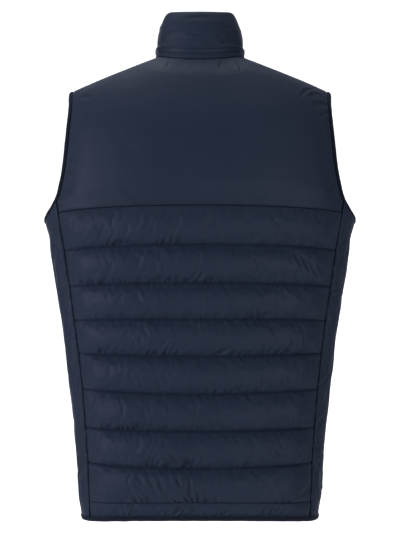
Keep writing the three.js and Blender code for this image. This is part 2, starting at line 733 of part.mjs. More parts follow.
function zipPath() {
  const onFront = (z) => facePoint(zipHalf, z, -1).setX(0);
  const onCollar = (height) => neckFrame.foot.clone().addScaledVector(neckFrame.rise, height).setX(0);
  const bendFoot = neckFrame.foot.z - zipBend;
  const rows = [];
  for (let i = 0; i < zipSteps.front; i++) rows.push(onFront(lerp(zipFoot, bendFoot, i / zipSteps.front)));
  const bend = new THREE.QuadraticBezierCurve3(onFront(bendFoot), onCollar(0), onCollar(zipBend));
  rows.push(...bend.getPoints(zipSteps.bend));
  const top = neckFrame.tall - zipBelowTop;
  for (let i = 1; i <= zipSteps.collar; i++) rows.push(onCollar(lerp(zipBend, top, i / zipSteps.collar)));
  return rows;
}

function zipFrames(points) {
  return points.map((p, i) => {
    const along = reachingOut(points, i, false).normalize();
    const n = new THREE.Vector3(0, -along.z, along.y);
    return { p, e: new THREE.Vector3(1, 0, 0), n };
  });
}

const box = (left, right, low, high) => [[left, low], [left, high], [right, high], [right, low]];

function addZip() {
  const frames = zipFrames(zipPath());
  const tapeEdge = zipHalf - seamGap;
  const tapeSection = box(tape.inner, tapeEdge, tape.low, tape.low + tape.thick);
  addPair("zip_tape", materials.tape, stripGeometry(frames, tapeSection, false));
  // The chain runs from the box at the hem to the slider at the top of the collar.
  const foot = frames[0];
  const up = frames[1].p.clone().sub(foot.p).normalize();
  const boxTop = foot.p.clone().addScaledVector(up, zipBox.long);
  const chainFoot = foot.p.clone().addScaledVector(up, zipBox.long + seamGap);
  const top = frames.at(-1);
  const down = frames.at(-2).p.clone().sub(top.p).normalize();
  const chainTop = top.p.clone().addScaledVector(down, slider.postLong + seamGap);
  const inner = frames.slice(1, -1);
  const chainFrames = [{ ...foot, p: chainFoot }, ...inner, { ...top, p: chainTop }];
  const chainSection = box(-chain.half, chain.half, chain.low, chain.high);
  addMesh("zip_chain", materials.teeth, stripGeometry(chainFrames, chainSection, false));
  const boxSection = box(-zipBox.half, zipBox.half, zipBox.low, zipBox.high);
  const boxFrames = [foot, { ...foot, p: boxTop }];
  addMesh("zip_box", materials.teeth, stripGeometry(boxFrames, boxSection, false));
  addSlider(top);
}

// Solids joined and cut where the slider and its pull tab need it
function solidOf(geometry) {
  const plain = geometry.clone();
  plain.deleteAttribute("normal");
  plain.deleteAttribute("uv");
  const merged = mergeVertices(plain, 1e-4);
  return new wasm.Manifold(new wasm.Mesh({
    numProp: 3,
    vertProperties: new Float32Array(merged.getAttribute("position").array),
    triVerts: new Uint32Array(merged.index.array),
  }));
}

function geometryOf(solid) {
  const mesh = solid.getMesh();
  const geometry = new THREE.BufferGeometry();
  geometry.setAttribute("position", new THREE.BufferAttribute(mesh.vertProperties, 3));
  geometry.setIndex(new THREE.BufferAttribute(mesh.triVerts, 1));
  geometry.computeVertexNormals();
  return geometry;
}

const block = (x, y, z, cx, cy, cz) => new THREE.BoxGeometry(x, y, z).translate(cx, cy, cz);
const barAcross = (radius, long) =>
  new THREE.CylinderGeometry(radius, radius, long, roundSides).rotateZ(Math.PI / 2);

// A rounded plate seen from the front, from its top edge down, between two depths in front.
function plate(halfWide, topHalf, long, front, thick) {
  const { round, shoulder } = plateCorner;
  const shape = new THREE.Shape();
  shape.moveTo(-topHalf, 0);
  shape.lineTo(topHalf, 0);
  shape.lineTo(halfWide, -long * shoulder);
  shape.lineTo(halfWide, -long + round);
  shape.lineTo(halfWide - round, -long);
  shape.lineTo(round - halfWide, -long);
  shape.lineTo(-halfWide, -long + round);
  shape.lineTo(-halfWide, -long * shoulder);
  shape.closePath();
  const geometry = new THREE.ExtrudeGeometry(shape, { depth: thick, bevelEnabled: false });
  return geometry.rotateX(Math.PI / 2).translate(0, -front, 0);
}

// The slider's own frame has its top at the origin, Z up and -Y out of the zip.
const pinCentre = { y: -(slider.front + slider.plate + ears.stand), z: -ears.down };

function addSlider(top) {
  const tilt = Math.atan2(top.n.z, -top.n.y);
  const place = (geometry) => geometry.rotateX(-tilt).translate(0, top.p.y, top.p.z);
  const { half, topHalf, long, post, postLong } = slider;
  let body = solidOf(plate(half, topHalf, long, slider.front, slider.plate));
  body = body.add(solidOf(plate(half, topHalf, long, slider.back, slider.plate)));
  const through = slider.front - slider.back;
  const postMiddle = -(slider.front + slider.back) / 2;
  body = body.add(solidOf(block(2 * post, through, postLong, 0, postMiddle, -postLong / 2)));
  const earX = ears.gap + ears.thick / 2;
  const earDeep = ears.stand + ears.radius;
  const earY = -(slider.front + slider.plate) - earDeep / 2 + bite;
  for (const hand of [-1, 1]) {
    body = body.add(solidOf(block(ears.thick, earDeep, 2 * ears.radius, hand * earX, earY, pinCentre.z)));
  }
  const pin = barAcross(ears.pin, 2 * ears.gap + ears.thick);
  body = body.add(solidOf(pin.translate(0, pinCentre.y, pinCentre.z)));
  addMesh("zip_slider", materials.metal, place(geometryOf(body)));
  // The pull hangs straight down from the pin.
  const hang = new THREE.Vector3(0, pinCentre.y, pinCentre.z);
  hang.applyAxisAngle(new THREE.Vector3(1, 0, 0), -tilt).add(new THREE.Vector3(0, top.p.y, top.p.z));
  let tab = solidOf(barAcross(pull.knuckle, 2 * pull.half));
  tab = tab.add(solidOf(block(2 * pull.half, pull.thick, pull.tabTop, 0, 0, -pull.tabTop / 2)));
  const gripLong = pull.long - pull.tabTop + bite;
  const grip = plate(pull.tabHalf, pull.half, gripLong, -pull.thick / 2, pull.thick);
  tab = tab.add(solidOf(grip.translate(0, 0, bite - pull.tabTop)));
  tab = tab.subtract(solidOf(barAcross(pull.hole, 4 * pull.half)));
  addMesh("zip_pull", materials.metal, geometryOf(tab).translate(hang.x, hang.y, hang.z));
}

addBack();
addFronts();
addSides();
addCollar();
addArmholeBindings();
addHemBinding();
addZip();

export default vest;
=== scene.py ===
# Looks of a padded vest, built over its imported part. Lengths are millimetres until a mesh is made.
import math

import bpy
import numpy as np
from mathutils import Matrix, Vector


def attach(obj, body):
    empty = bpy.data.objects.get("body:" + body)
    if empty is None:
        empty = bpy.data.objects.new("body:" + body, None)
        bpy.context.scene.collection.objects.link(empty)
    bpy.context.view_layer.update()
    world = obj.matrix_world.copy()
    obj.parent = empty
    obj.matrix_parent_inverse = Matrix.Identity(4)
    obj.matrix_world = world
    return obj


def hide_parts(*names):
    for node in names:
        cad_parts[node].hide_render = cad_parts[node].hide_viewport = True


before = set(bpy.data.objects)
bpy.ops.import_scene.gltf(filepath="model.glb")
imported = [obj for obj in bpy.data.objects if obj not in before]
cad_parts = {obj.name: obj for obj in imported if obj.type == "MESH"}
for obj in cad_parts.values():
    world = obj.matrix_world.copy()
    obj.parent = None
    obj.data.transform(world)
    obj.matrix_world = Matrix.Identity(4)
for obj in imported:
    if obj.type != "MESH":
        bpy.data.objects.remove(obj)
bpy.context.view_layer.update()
print("vest: packed part loaded,", len(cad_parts), "nodes")

# Form of the body, the same tables as the part's source, column by column
bodySections = {
    "z": [-690, -665, -630, -560, -485, -416, -360, -300, -262, -226, -195, -160, -110, -60, -25, 15, 60],
    "side": [171.5, 174, 176.5, 183, 193, 202, 211, 221.5, 228.5, 238.5, 234, 230, 224, 216, 211, 206, 202],
    "back": [93, 95, 97, 93, 88, 88, 93, 100, 104.5, 107, 107.5, 107, 102, 92, 86, 80.5, 75],
    "front": [96, 98, 101, 103, 102, 102, 104, 108, 111, 112, 111.5, 110, 104, 90, 79, 69, 60],
    "square": [3.3, 3.2, 2.9, 2.6, 2.45, 2.4] + [2.35] * 11,
}
shoulderForm = {"neckX": 68, "neckZ": 26.5, "slope": 0.4, "tipX": 199, "ridge": 40}
shoulderArch = {"start": -110, "power": 2.3}
sideSeam = {
    "z": [-690, -646, -591.5, -541.5, -486, -434, -385, -334.5, -281, -225, -190],
    "x": [156.5, 158, 161.5, 166, 172, 178.5, 185.5, 193, 201, 211, 216],
}
quiltLines = {
    "middle": [-222, -278, -333, -385, -438, -492, -544, -595, -641],
    "end": [-225, -281, -334.5, -385, -434, -486, -541.5, -591.5, -646],
    "crest": [12, 12.5, 12, 12, 12.5, 12, 12.5, 11, 5],
}
lineCount = len(quiltLines["middle"])
hemHeights = {"back": -661, "side": -670, "front": -662}
armholeCut = {
    "turn": [26.9, 30.7, 31.2, 29.4, 27.2, 22.4, 13, 0, -14, -25, -31, -36, -38, -37.2, -31],
    "z": [-58, -111, -162, -192, -209.6, -222, -231, -234, -230, -219, -205, -183, -155, -111, -58],
}
neckForm = {"side": 68, "back": 57, "front": 80, "square": 2.2}
collarForm = {
    "turn": [-135, -90, -45, 0, 45, 90, 135],
    "lean": [0.1, -0.06, 0.1, 0.25, 0.22, 0.15, 0.22],
    "tall": [71, 70, 71, 75, 79.5, 80.5, 79.5],
}
zipHalf = 9
seamGap = 0.3
walls = {"flat": 3, "yoke": 8, "side": 6, "fade": 22, "swell": 38, "puffPower": 0.6}
neckShare = 0.36
seamShare = 0.07
neckFan = {"reach": 14, "rows": 0.12, "power": 0.6}
chestHeight = 235
sideWidth = 150
degreeReach = 3.8
halfReach = 205  # from the middle of the back to its side seam, along the cloth
edgeRoll = 2.5  # how far an edge turns down into its seam
farOff = 99  # farther from a line than anything that the line does to the cloth


def lerp(a, b, t):
    return a + (b - a) * t


def ease(t):
    t = np.clip(t, 0, 1)
    return t * t * (3 - 2 * t)


# A smooth curve through values that are known at some places
def resample(values, places, at):
    last = len(places) - 1
    i = np.clip(np.searchsorted(places, at) - 1, 0, last - 1)
    before, after = np.maximum(np.arange(last + 1) - 1, 0), np.minimum(np.arange(last + 1) + 1, last)

    def wide(a):
        return np.reshape(a, np.shape(a) + (1,) * (values.ndim - 1))

    slope = (values[after] - values[before]) / wide(places[after] - places[before])
    span = places[i + 1] - places[i]
    f, span = wide((at - places[i]) / span), wide(span)
    curve = f * (1 - f) ** 2 * span * slope[i] + f * f * (f - 1) * span * slope[i + 1]
    return lerp(values[i], values[i + 1], f * f * (3 - 2 * f)) + curve


def readTable(table, along, at, column):
    x, y = np.array(table[along], float), np.array(table[column], float)
    return resample(y, x, np.clip(at, x[0], x[-1]))


def unit(v):
    return v / np.maximum(np.linalg.norm(v, axis=-1, keepdims=True), 1e-12)


def places(x, y, z):
    return np.stack(np.broadcast_arrays(x, y, z), axis=-1).astype(float)


def signedPower(v, p):
    return np.sign(v) * np.abs(v) ** p


# The place between low and high where f is nought, found by halving
def crossing(low, high, f, halvings=50):
    low, high = np.broadcast_arrays(np.asarray(low, float), np.asarray(high, float))
    low, high = low.copy(), high.copy()
    rising = f(high) > f(low)
    for _ in range(halvings):
        middle = (low + high) / 2
        over = (f(middle) > 0) == rising
        high, low = np.where(over, middle, high), np.where(over, low, middle)
    return (low + high) / 2


# Body form, as in the part's source
def sectionAt(z):
    return [readTable(bodySections, "z", z, name) for name in ("side", "back", "front", "square")]


def shoulderZ(x):
    ridge = shoulderForm["ridge"]
    out = np.where(np.abs(x) < ridge, (x * x / ridge + ridge) / 2, np.abs(x))
    return shoulderForm["neckZ"] - shoulderForm["slope"] * (out - shoulderForm["neckX"])


def archShare(x, z):
    return np.maximum(0, (z - shoulderArch["start"]) / (shoulderZ(x) - shoulderArch["start"]))


def archDepth(x, z):
    power = shoulderArch["power"]
    return np.maximum(0, 1 - archShare(x, z) ** power) ** (1 / power)


def facePoint(x, z, face):
    side, back, front, square = sectionAt(z)
    across = np.maximum(0, 1 - np.abs(x / side) ** square) ** (1 / square)
    return places(x, face * (back if face > 0 else front) * across * archDepth(x, z), z)


def turnPoint(turn, z):
    side, back, front, square = sectionAt(z)
    angle = np.radians(turn)
    x = side * signedPower(np.cos(angle), 2 / square)
    deep = np.where(np.asarray(turn) < 0, front, back)
    return places(x, deep * signedPower(np.sin(angle), 2 / square) * archDepth(x, z), z)


def turnAt(x, z):
    side, _, _, square = sectionAt(z)
    return np.degrees(np.arccos(np.clip(x / side, -1, 1) ** (square / 2)))


def outward(p):
    over = p[..., 2] > shoulderArch["start"]

    def level(x, y, z):
        side, back, front, square = sectionAt(z)
        deep = np.abs(y) / np.where(y < 0, front, back)
        plain = np.abs(x / side) ** square + deep ** square
        across = np.maximum(1e-6, 1 - np.abs(x / side) ** square) ** (1 / square)
        arched = (deep / across) ** shoulderArch["power"] + archShare(x, z) ** shoulderArch["power"]
        return np.where(over, arched, plain)

    x, y, z = p[..., 0], p[..., 1], p[..., 2]
    nudge = 0.05
    return unit(places(
        level(x + nudge, y, z) - level(x - nudge, y, z),
        level(x, y + nudge, z) - level(x, y - nudge, z),
        level(x, y, z + nudge) - level(x, y, z - nudge),
    ))


def sideSeamX(z):
    return readTable(sideSeam, "z", z, "x")


def hemZ(x, face):
    side, _, _, square = sectionAt(hemHeights["side"])
    return lerp(hemHeights["back" if face > 0 else "front"], hemHeights["side"], np.abs(x / side) ** square)


# Height of a place in the quilting: row counts the stitched lines down from the yoke seam.
def quiltZ(s, row, face):
    lines = np.stack([
        lerp(quiltLines["middle"][k], quiltLines["end"][k], s * s) + 0 * row for k in range(lineCount)
    ] + [hemZ(s * sideSeamX(hemHeights["side"]), face) + 0 * row])
    k = np.clip(np.floor(row + 1e-9).astype(int), 0, lineCount - 1)
    above, below = np.take_along_axis(lines, k[None], 0)[0], np.take_along_axis(lines, k[None] + 1, 0)[0]
    return lerp(above, below, row - k)


armholePath = {"turn": [], "z": [], "run": []}
tipZ = float(shoulderZ(shoulderForm["tipX"]))
tipTurn = float(turnAt(shoulderForm["tipX"], tipZ))
for turn, z in zip([tipTurn] + armholeCut["turn"] + [-tipTurn], [tipZ] + armholeCut["z"] + [tipZ]):
    run = 0
    if armholePath["run"]:
        run = armholePath["run"][-1] + math.hypot(
            (turn - armholePath["turn"][-1]) * degreeReach, z - armholePath["z"][-1])
    for name, value in (("turn", turn), ("z", z), ("run", run)):
        armholePath[name].append(value)
armholeFoot = armholePath["run"][armholePath["turn"].index(0)]
armholeLength = armholePath["run"][-1]


def armholePlace(run):
    return readTable(armholePath, "run", run, "turn"), readTable(armholePath, "run", run, "z")


def armholePoint(run):
    return turnPoint(*armholePlace(run))


def beyondSeam(run):
    p = armholePoint(run)
    return p[..., 0] - sideSeamX(p[..., 2])


backCrossing = float(crossing(armholeFoot / 2, armholeFoot, beyondSeam))
frontCrossing = float(crossing(armholeFoot, (armholeFoot + armholeLength) / 2, beyondSeam))


def neckPoint(turn):
    turn = np.asarray(turn, float)
    x = neckForm["side"] * signedPower(np.cos(np.radians(turn)), 2 / neckForm["square"])
    ahead = (turn < 0) | (turn > 180)
    reach = np.where(ahead, neckForm["front"], neckForm["back"])
    y = reach * np.abs(np.sin(np.radians(turn))) ** (2 / neckForm["square"])

    def short(z):
        return np.where(ahead, np.abs(facePoint(x, z, -1)[..., 1]), facePoint(x, z, 1)[..., 1]) - y

    return places(x, np.where(ahead, -y, y), crossing(shoulderArch["start"], shoulderZ(x), short))


zipTurn = -math.degrees(math.acos((zipHalf / neckForm["side"]) ** (neckForm["square"] / 2)))


def collarFrame(turn):
    turn = np.asarray(turn, float)
    folded = np.where(turn > 90, 180 - turn, turn)
    lean = readTable(collarForm, "turn", folded, "lean")[..., None]
    along = neckPoint(turn + 0.5) - neckPoint(turn - 0.5)
    along = unit(along * [1, 1, 0])
    out = places(along[..., 1], -along[..., 0], 0)
    rise = unit(np.array([0, 0, 1.0]) - out * lean)
    normal = unit(out * rise[..., 2:] + np.array([0, 0, 1.0]) * lean * rise[..., 2:])
    return neckPoint(turn), rise, normal, readTable(collarForm, "turn", folded, "tall")


def mitre(bodyNormal, collarNormal):
    middle = unit(bodyNormal + collarNormal)
    return middle / np.sum(middle * collarNormal, axis=-1, keepdims=True)


def fillAt(distance, reach=walls["fade"]):
    share = np.clip(distance / reach, 0, 1)
    return np.sqrt(1 - (1 - share) ** 2)


def puffAt(part):
    return np.maximum(0, np.sin(np.pi * part)) ** walls["puffPower"]


# Unevenness of sewn cloth, between about -1 and 1
noiseCells = 64
noiseGain = 1.4


def clothNoise(x, y, seed):
    angles = np.random.default_rng(seed).uniform(0, 2 * math.pi, (noiseCells, noiseCells))
    xi, yi = np.floor(x).astype(int), np.floor(y).astype(int)
    fx, fy = x - xi, y - yi

    def corner(dx, dy):
        a = angles[(xi + dx) % noiseCells, (yi + dy) % noiseCells]
        return np.cos(a) * (fx - dx) + np.sin(a) * (fy - dy)

    u, v = (f ** 3 * (f * (f * 6 - 15) + 10) for f in (fx, fy))
    return noiseGain * lerp(lerp(corner(0, 0), corner(1, 0), u), lerp(corner(0, 1), corner(1, 1), u), v)


# Soft lumps with smaller ones between them: each size is its width and height.
def lumpsOf(along, down, sizes, share, seed):
    (wide, tall), (smallWide, smallTall) = sizes
    small = clothNoise(along / smallWide, down / smallTall, seed + 1)
    return clothNoise(along / wide, down / tall, seed) + share * small


# Puckers beside a stitched line: sharp valleys that run away from it and fade.
puckerForm = {"sharp": 2.2, "bulge": 0.4, "clusters": 47, "lengths": 19, "start": 1.1}


def puckersBeside(along, away, seed, spacing, reach, slant):
    n = clothNoise((along + slant * away) / spacing, away / (3 * spacing) + 3.3, seed)
    valleys = (1 - np.minimum(1, np.abs(n) * puckerForm["sharp"])) ** 1.5
    crowded = clothNoise(along / puckerForm["clusters"], away * 0 + 0.5, seed + 50)
    clusters = np.clip(0.45 + 1.5 * crowded, 0.1, 1.4)
    length = reach * (0.75 + 0.6 * clothNoise(along / puckerForm["lengths"], away * 0 + 0.5, seed + 60))
    strength = clusters * (1 - np.exp(-away / puckerForm["start"])) * np.exp(-(away / length) ** 1.5)
    return strength * (puckerForm["bulge"] * np.abs(n) - valleys)


# Creases laid one by one: troughs with a soft ridge beside them, from one place to another.
creaseForm = {"taper": 0.35, "ridge": 0.5, "ridgeAt": 1.5, "ridgeWide": 1.1}


def layCreases(x, z, creases):
    lift = np.zeros_like(x)
    for x1, z1, x2, z2, deep, wide, bow in creases:
        long = math.hypot(x2 - x1, z2 - z1)
        dx, dz = (x2 - x1) / long, (z2 - z1) / long
        t = ((x - x1) * dx + (z - z1) * dz) / long
        off = (z - z1) * dx - (x - x1) * dz - bow * 4 * t * (1 - t)
        taper = ease(t / creaseForm["taper"]) * ease((1 - t) / creaseForm["taper"])
        fromRidge = (off - creaseForm["ridgeAt"] * wide) / (creaseForm["ridgeWide"] * wide)
        ridge = creaseForm["ridge"] * np.exp(-fromRidge ** 2)
        lift += deep * taper * (ridge - np.exp(-(off / wide) ** 2))
    return lift


# Meshes
def placesAcross(reach, step, fine=(0.5, 1.2)):
    even = np.linspace(0, reach, max(2, round(reach / step)) + 1)
    return np.unique(np.round(np.concatenate([even, fine, [reach - f for f in fine]]), 4)) / reach


def mirroredColumns(half):
    return np.concatenate([-half[:0:-1], half])


def arcAcross(grid, axis):
    step = np.linalg.norm(np.diff(grid, axis=axis), axis=-1)
    total = np.cumsum(step, axis=axis)
    shape = list(step.shape)
    shape[axis] = 1
    return np.concatenate([np.zeros(shape), total], axis=axis)


def runAlong(line):
    return np.concatenate([[0], np.cumsum(np.linalg.norm(np.diff(line, axis=0), axis=1))])


def readAlong(line, run, at):
    return np.stack([np.interp(at, run, line[:, k]) for k in range(3)], -1)


def gridQuads(ids):
    return np.stack([ids[:-1, :-1], ids[:-1, 1:], ids[1:, 1:], ids[1:, :-1]], -1).reshape(-1, 4)


def cleanMesh(name, vertices, faces, smooth=True):
    mesh = bpy.data.meshes.new(name)
    mesh.from_pydata((np.asarray(vertices) / 1000).tolist(), [], faces)
    mesh.validate()
    mesh.update()
    if smooth:
        mesh.polygons.foreach_set("use_smooth", np.ones(len(mesh.polygons), bool))
    piece = bpy.data.objects.new(name, mesh)
    bpy.context.scene.collection.objects.link(piece)
    return piece


def insideOut(vertices, faces):
    triangles = np.array([(f[0], f[i], f[i + 1]) for f in faces for i in range(1, len(f) - 1)])
    a, b, c = (vertices[triangles[:, k]] for k in range(3))
    return np.einsum("ij,ij->", a, np.cross(b, c)) < 0


# A wall with a fine outer face and a plainer inner one, closed round its edge
def closedWall(name, outer, inner, keepRows, keepColumns):
    rows, columns = outer.shape[:2]
    outerId = np.arange(rows * columns).reshape(rows, columns)
    innerGrid = inner[np.ix_(keepRows, keepColumns)]
    innerId = outerId.size + np.arange(len(keepRows) * len(keepColumns)).reshape(len(keepRows), -1)
    vertices = np.concatenate([outer.reshape(-1, 3), innerGrid.reshape(-1, 3)])

    faces = gridQuads(outerId).tolist() + gridQuads(innerId)[:, ::-1].tolist()
    edges = [
        (outerId[0], innerId[0], keepColumns, 1), (outerId[-1], innerId[-1], keepColumns, 0),
        (outerId[:, 0], innerId[:, 0], keepRows, 0), (outerId[:, -1], innerId[:, -1], keepRows, 1),
    ]
    for outerEdge, innerEdge, kept, turned in edges:
        for k in range(len(kept) - 1):
            a, b = kept[k], kept[k + 1]
            middle = (a + b) // 2
            fan = [(outerEdge[i], outerEdge[i + 1], innerEdge[k + (i >= middle)]) for i in range(a, b)]
            fan.append((innerEdge[k], outerEdge[middle], innerEdge[k + 1]))
            faces += [tuple(int(i) for i in (f[::-1] if turned else f)) for f in fan]
    if insideOut(vertices, faces):
        faces = [tuple(f)[::-1] for f in faces]
    return cleanMesh(name, vertices, faces)


def everyFew(count, few):
    kept = list(range(0, count, few))
    return kept if kept[-1] == count - 1 else kept + [count - 1]


# One section carried along a path, closed in a ring or with flat ends
def stripOf(name, centre, across, out, section, ring):
    rings = centre[:, None] + across[:, None] * section[..., 0, None] + out[:, None] * section[..., 1, None]
    count, size = rings.shape[:2]
    faces = []
    for i in range(count if ring else count - 1):
        a, b = i * size, ((i + 1) % count) * size
        faces += [(a + k, a + (k + 1) % size, b + (k + 1) % size, b + k) for k in range(size)]
    if not ring:
        faces += [tuple(range(size))[::-1], tuple(range((count - 1) * size, count * size))]
    vertices = rings.reshape(-1, 3)
    if insideOut(vertices, faces):
        faces = [tuple(f)[::-1] for f in faces]
    return cleanMesh(name, vertices, faces)


# Many small closed pieces of the same build in one mesh. Loops go by piece, ring, corner and axis.
def joinedLoops(name, loops, smooth=True):
    pieces, rings, size = loops.shape[:3]
    vertices = loops.reshape(-1, 3)
    one = []
    for r in range(rings - 1):
        for k in range(size):
            m = (k + 1) % size
            one.append((r * size + k, r * size + m, (r + 1) * size + m, (r + 1) * size + k))
    one.append(tuple(range(size))[::-1])
    one.append(tuple(range((rings - 1) * size, rings * size)))
    if insideOut(vertices[: rings * size], one):
        one = [f[::-1] for f in one]
    faces = [tuple(i + n * rings * size for i in f) for n in range(pieces) for f in one]
    return cleanMesh(name, vertices, faces, smooth)


# Stitches: each rises out of the cloth and dips back. Share of its length, its size and its rise.
stitchForm = [(0, 0.45, -0.5), (0.16, 1, 0.35), (0.5, 1.1, 0.6), (0.84, 1, 0.35), (1, 0.45, -0.5)]
stitchCorners = 6


def stitchRuns(line, up, pitch, long, thick, lift):
    run = runAlong(line)
    count = max(1, int(run[-1] / pitch))
    middles = (np.arange(count) + 0.5) * run[-1] / count
    n = unit(readAlong(up, run, middles))
    a, b = readAlong(line, run, middles - long / 2), readAlong(line, run, middles + long / 2)
    along = unit(b - a)
    side = unit(np.cross(along, n))
    angles = np.linspace(0, 2 * math.pi, stitchCorners, endpoint=False)
    rings = []
    for share, size, rise in stitchForm:
        centre = lerp(a, b, share) + n * (lift + rise * thick)
        wide, tall = thick * size, thick * size * 0.7
        ring = [centre + side * math.cos(q) * wide + n * math.sin(q) * tall for q in angles]
        rings.append(np.stack(ring, 1))
    return np.stack(rings, 1)


stitching = {"quilting": [], "binding": [], "zip": []}
threads = {"pitch": 3.3, "long": 2.5, "thick": 0.26}


def stitchAlong(kind, line, up, lift=0.12):
    stitching[kind].append(stitchRuns(line, up, threads["pitch"], threads["long"], threads["thick"], lift))


# Quilted channels of the back and of each front
backChannels = {
    "columnStep": 1.5, "rowStep": 1.55, "sewnDeep": 1.5, "sewnWide": 1.7, "sideFade": 36,
    "puckers": {"above": 4.2, "below": 1.8, "reachAbove": 12, "reachBelow": 7, "spacing": 9.5},
    "lumps": 1.0, "lumpSizes": ((46, 33), (17, 15)), "smallLumps": 0.45,
    "gathers": 1.5, "gathersWide": 6.5, "gathersTall": 17, "gatherClusters": 42, "unevenDeep": 0.07,
    "unevenWaves": 7, "unevenShift": 1.9, "thinnest": 1.2,
    "casing": {
        "lumps": 0.3, "puckers": 0.35, "rise": 2.0, "riseWide": 7, "mark": 0.9, "markWide": 1.3,
        "leanIn": 1.5, "leanHigh": 18,
    },
}
# from x, z to x, z, then how deep, how wide and how bowed
backCreases = [
    (-133, -286, -147, -311, 2.2, 2.6, 2), (-143, -289, -159, -317, 2.4, 2.5, 2.5),
    (-154, -294, -169, -323, 2.2, 2.4, 3), (-166, -297, -177, -320, 1.7, 2.3, 2),
    (-108, -266, -198, -272, 1.4, 4, 2), (-112, -248, -130, -268, 1.2, 3, 2),
    (53, -570, 37, -593, 2.0, 2.5, 2), (44, -567, 23, -594, 2.3, 2.5, 3),
    (29, -573, 11, -595, 1.9, 2.3, 2), (73, -603, 60, -624, 1.7, 2.4, 2),
    (14, -605, 18, -636, 2.4, 2.4, -2), (32, -604, 24, -622, 1.7, 2.2, 2),
    (57, -605, 47, -632, 1.9, 2.4, 2), (88, -604, 76, -618, 1.3, 2.4, 1),
    (-86, -511, -170, -536, 1.3, 5, 5), (-146, -407, -154, -433, 1.3, 2.6, 2),
    (-128, -404, -134, -432, 1.1, 2.5, 1), (177, -240, 160, -268, 1.1, 3.4, 2),
    (150, -244, 139, -262, 0.9, 3, 1), (120, -352, 96, -378, 0.9, 4, 3),
    (-60, -455, -40, -486, 1.1, 3, 2), (-30, -460, -20, -488, 1.0, 2.8, 1),
    (-120, -462, -131, -484, 1.3, 2.6, 1), (-98, -466, -104, -485, 1.2, 2.6, 1),
    (60, -466, 52, -490, 1.2, 3, 1), (84, -470, 79, -489, 1.0, 2.6, 1),
    (-10, -521, -30, -541, 1.3, 3.4, 2), (20, -519, 8, -542, 1.2, 3, 2),
    (-150, -566, -128, -586, 1.0, 3.4, 2), (140, -612, 118, -634, 1.0, 3.4, 2),
    (-95, -610, -70, -636, 1.0, 3.4, -2),
]
frontCreases = [
    (40, -250, 70, -272, 1.0, 4, 2), (120, -296, 96, -326, 1.2, 3.6, 2),
    (168, -300, 150, -326, 1.1, 3.4, 2), (30, -352, 60, -376, 0.9, 4, 2),
    (150, -405, 128, -430, 1.2, 3.6, 2), (70, -456, 50, -486, 1.0, 3.6, 2),
    (110, -508, 134, -538, 1.0, 4, 3), (30, -560, 52, -590, 1.2, 3.6, 2),
    (140, -566, 124, -588, 1.0, 3.4, 2), (60, -608, 84, -636, 1.0, 3.6, 2),
]


def quiltRowPlaces(step, fine=(0.5, 1.2)):
    rows = []
    for k in range(lineCount):
        high = quiltLines["middle"][k] - (quiltLines["middle"] + [hemHeights["back"]])[k + 1]
        parts = placesAcross(high, step, fine)
        rows += list(k + parts[:-1])
    return np.array(rows + [lineCount])


def quiltGrid(columns, rows, face):
    s, row = np.meshgrid(columns, rows)
    z = quiltZ(np.abs(s), row, face)
    start = 0 if face > 0 else zipHalf
    x = np.where(s < 0, -1, 1) * lerp(start, sideSeamX(z), np.abs(s))
    p = facePoint(x, z, face)
    return p, outward(p), s, row


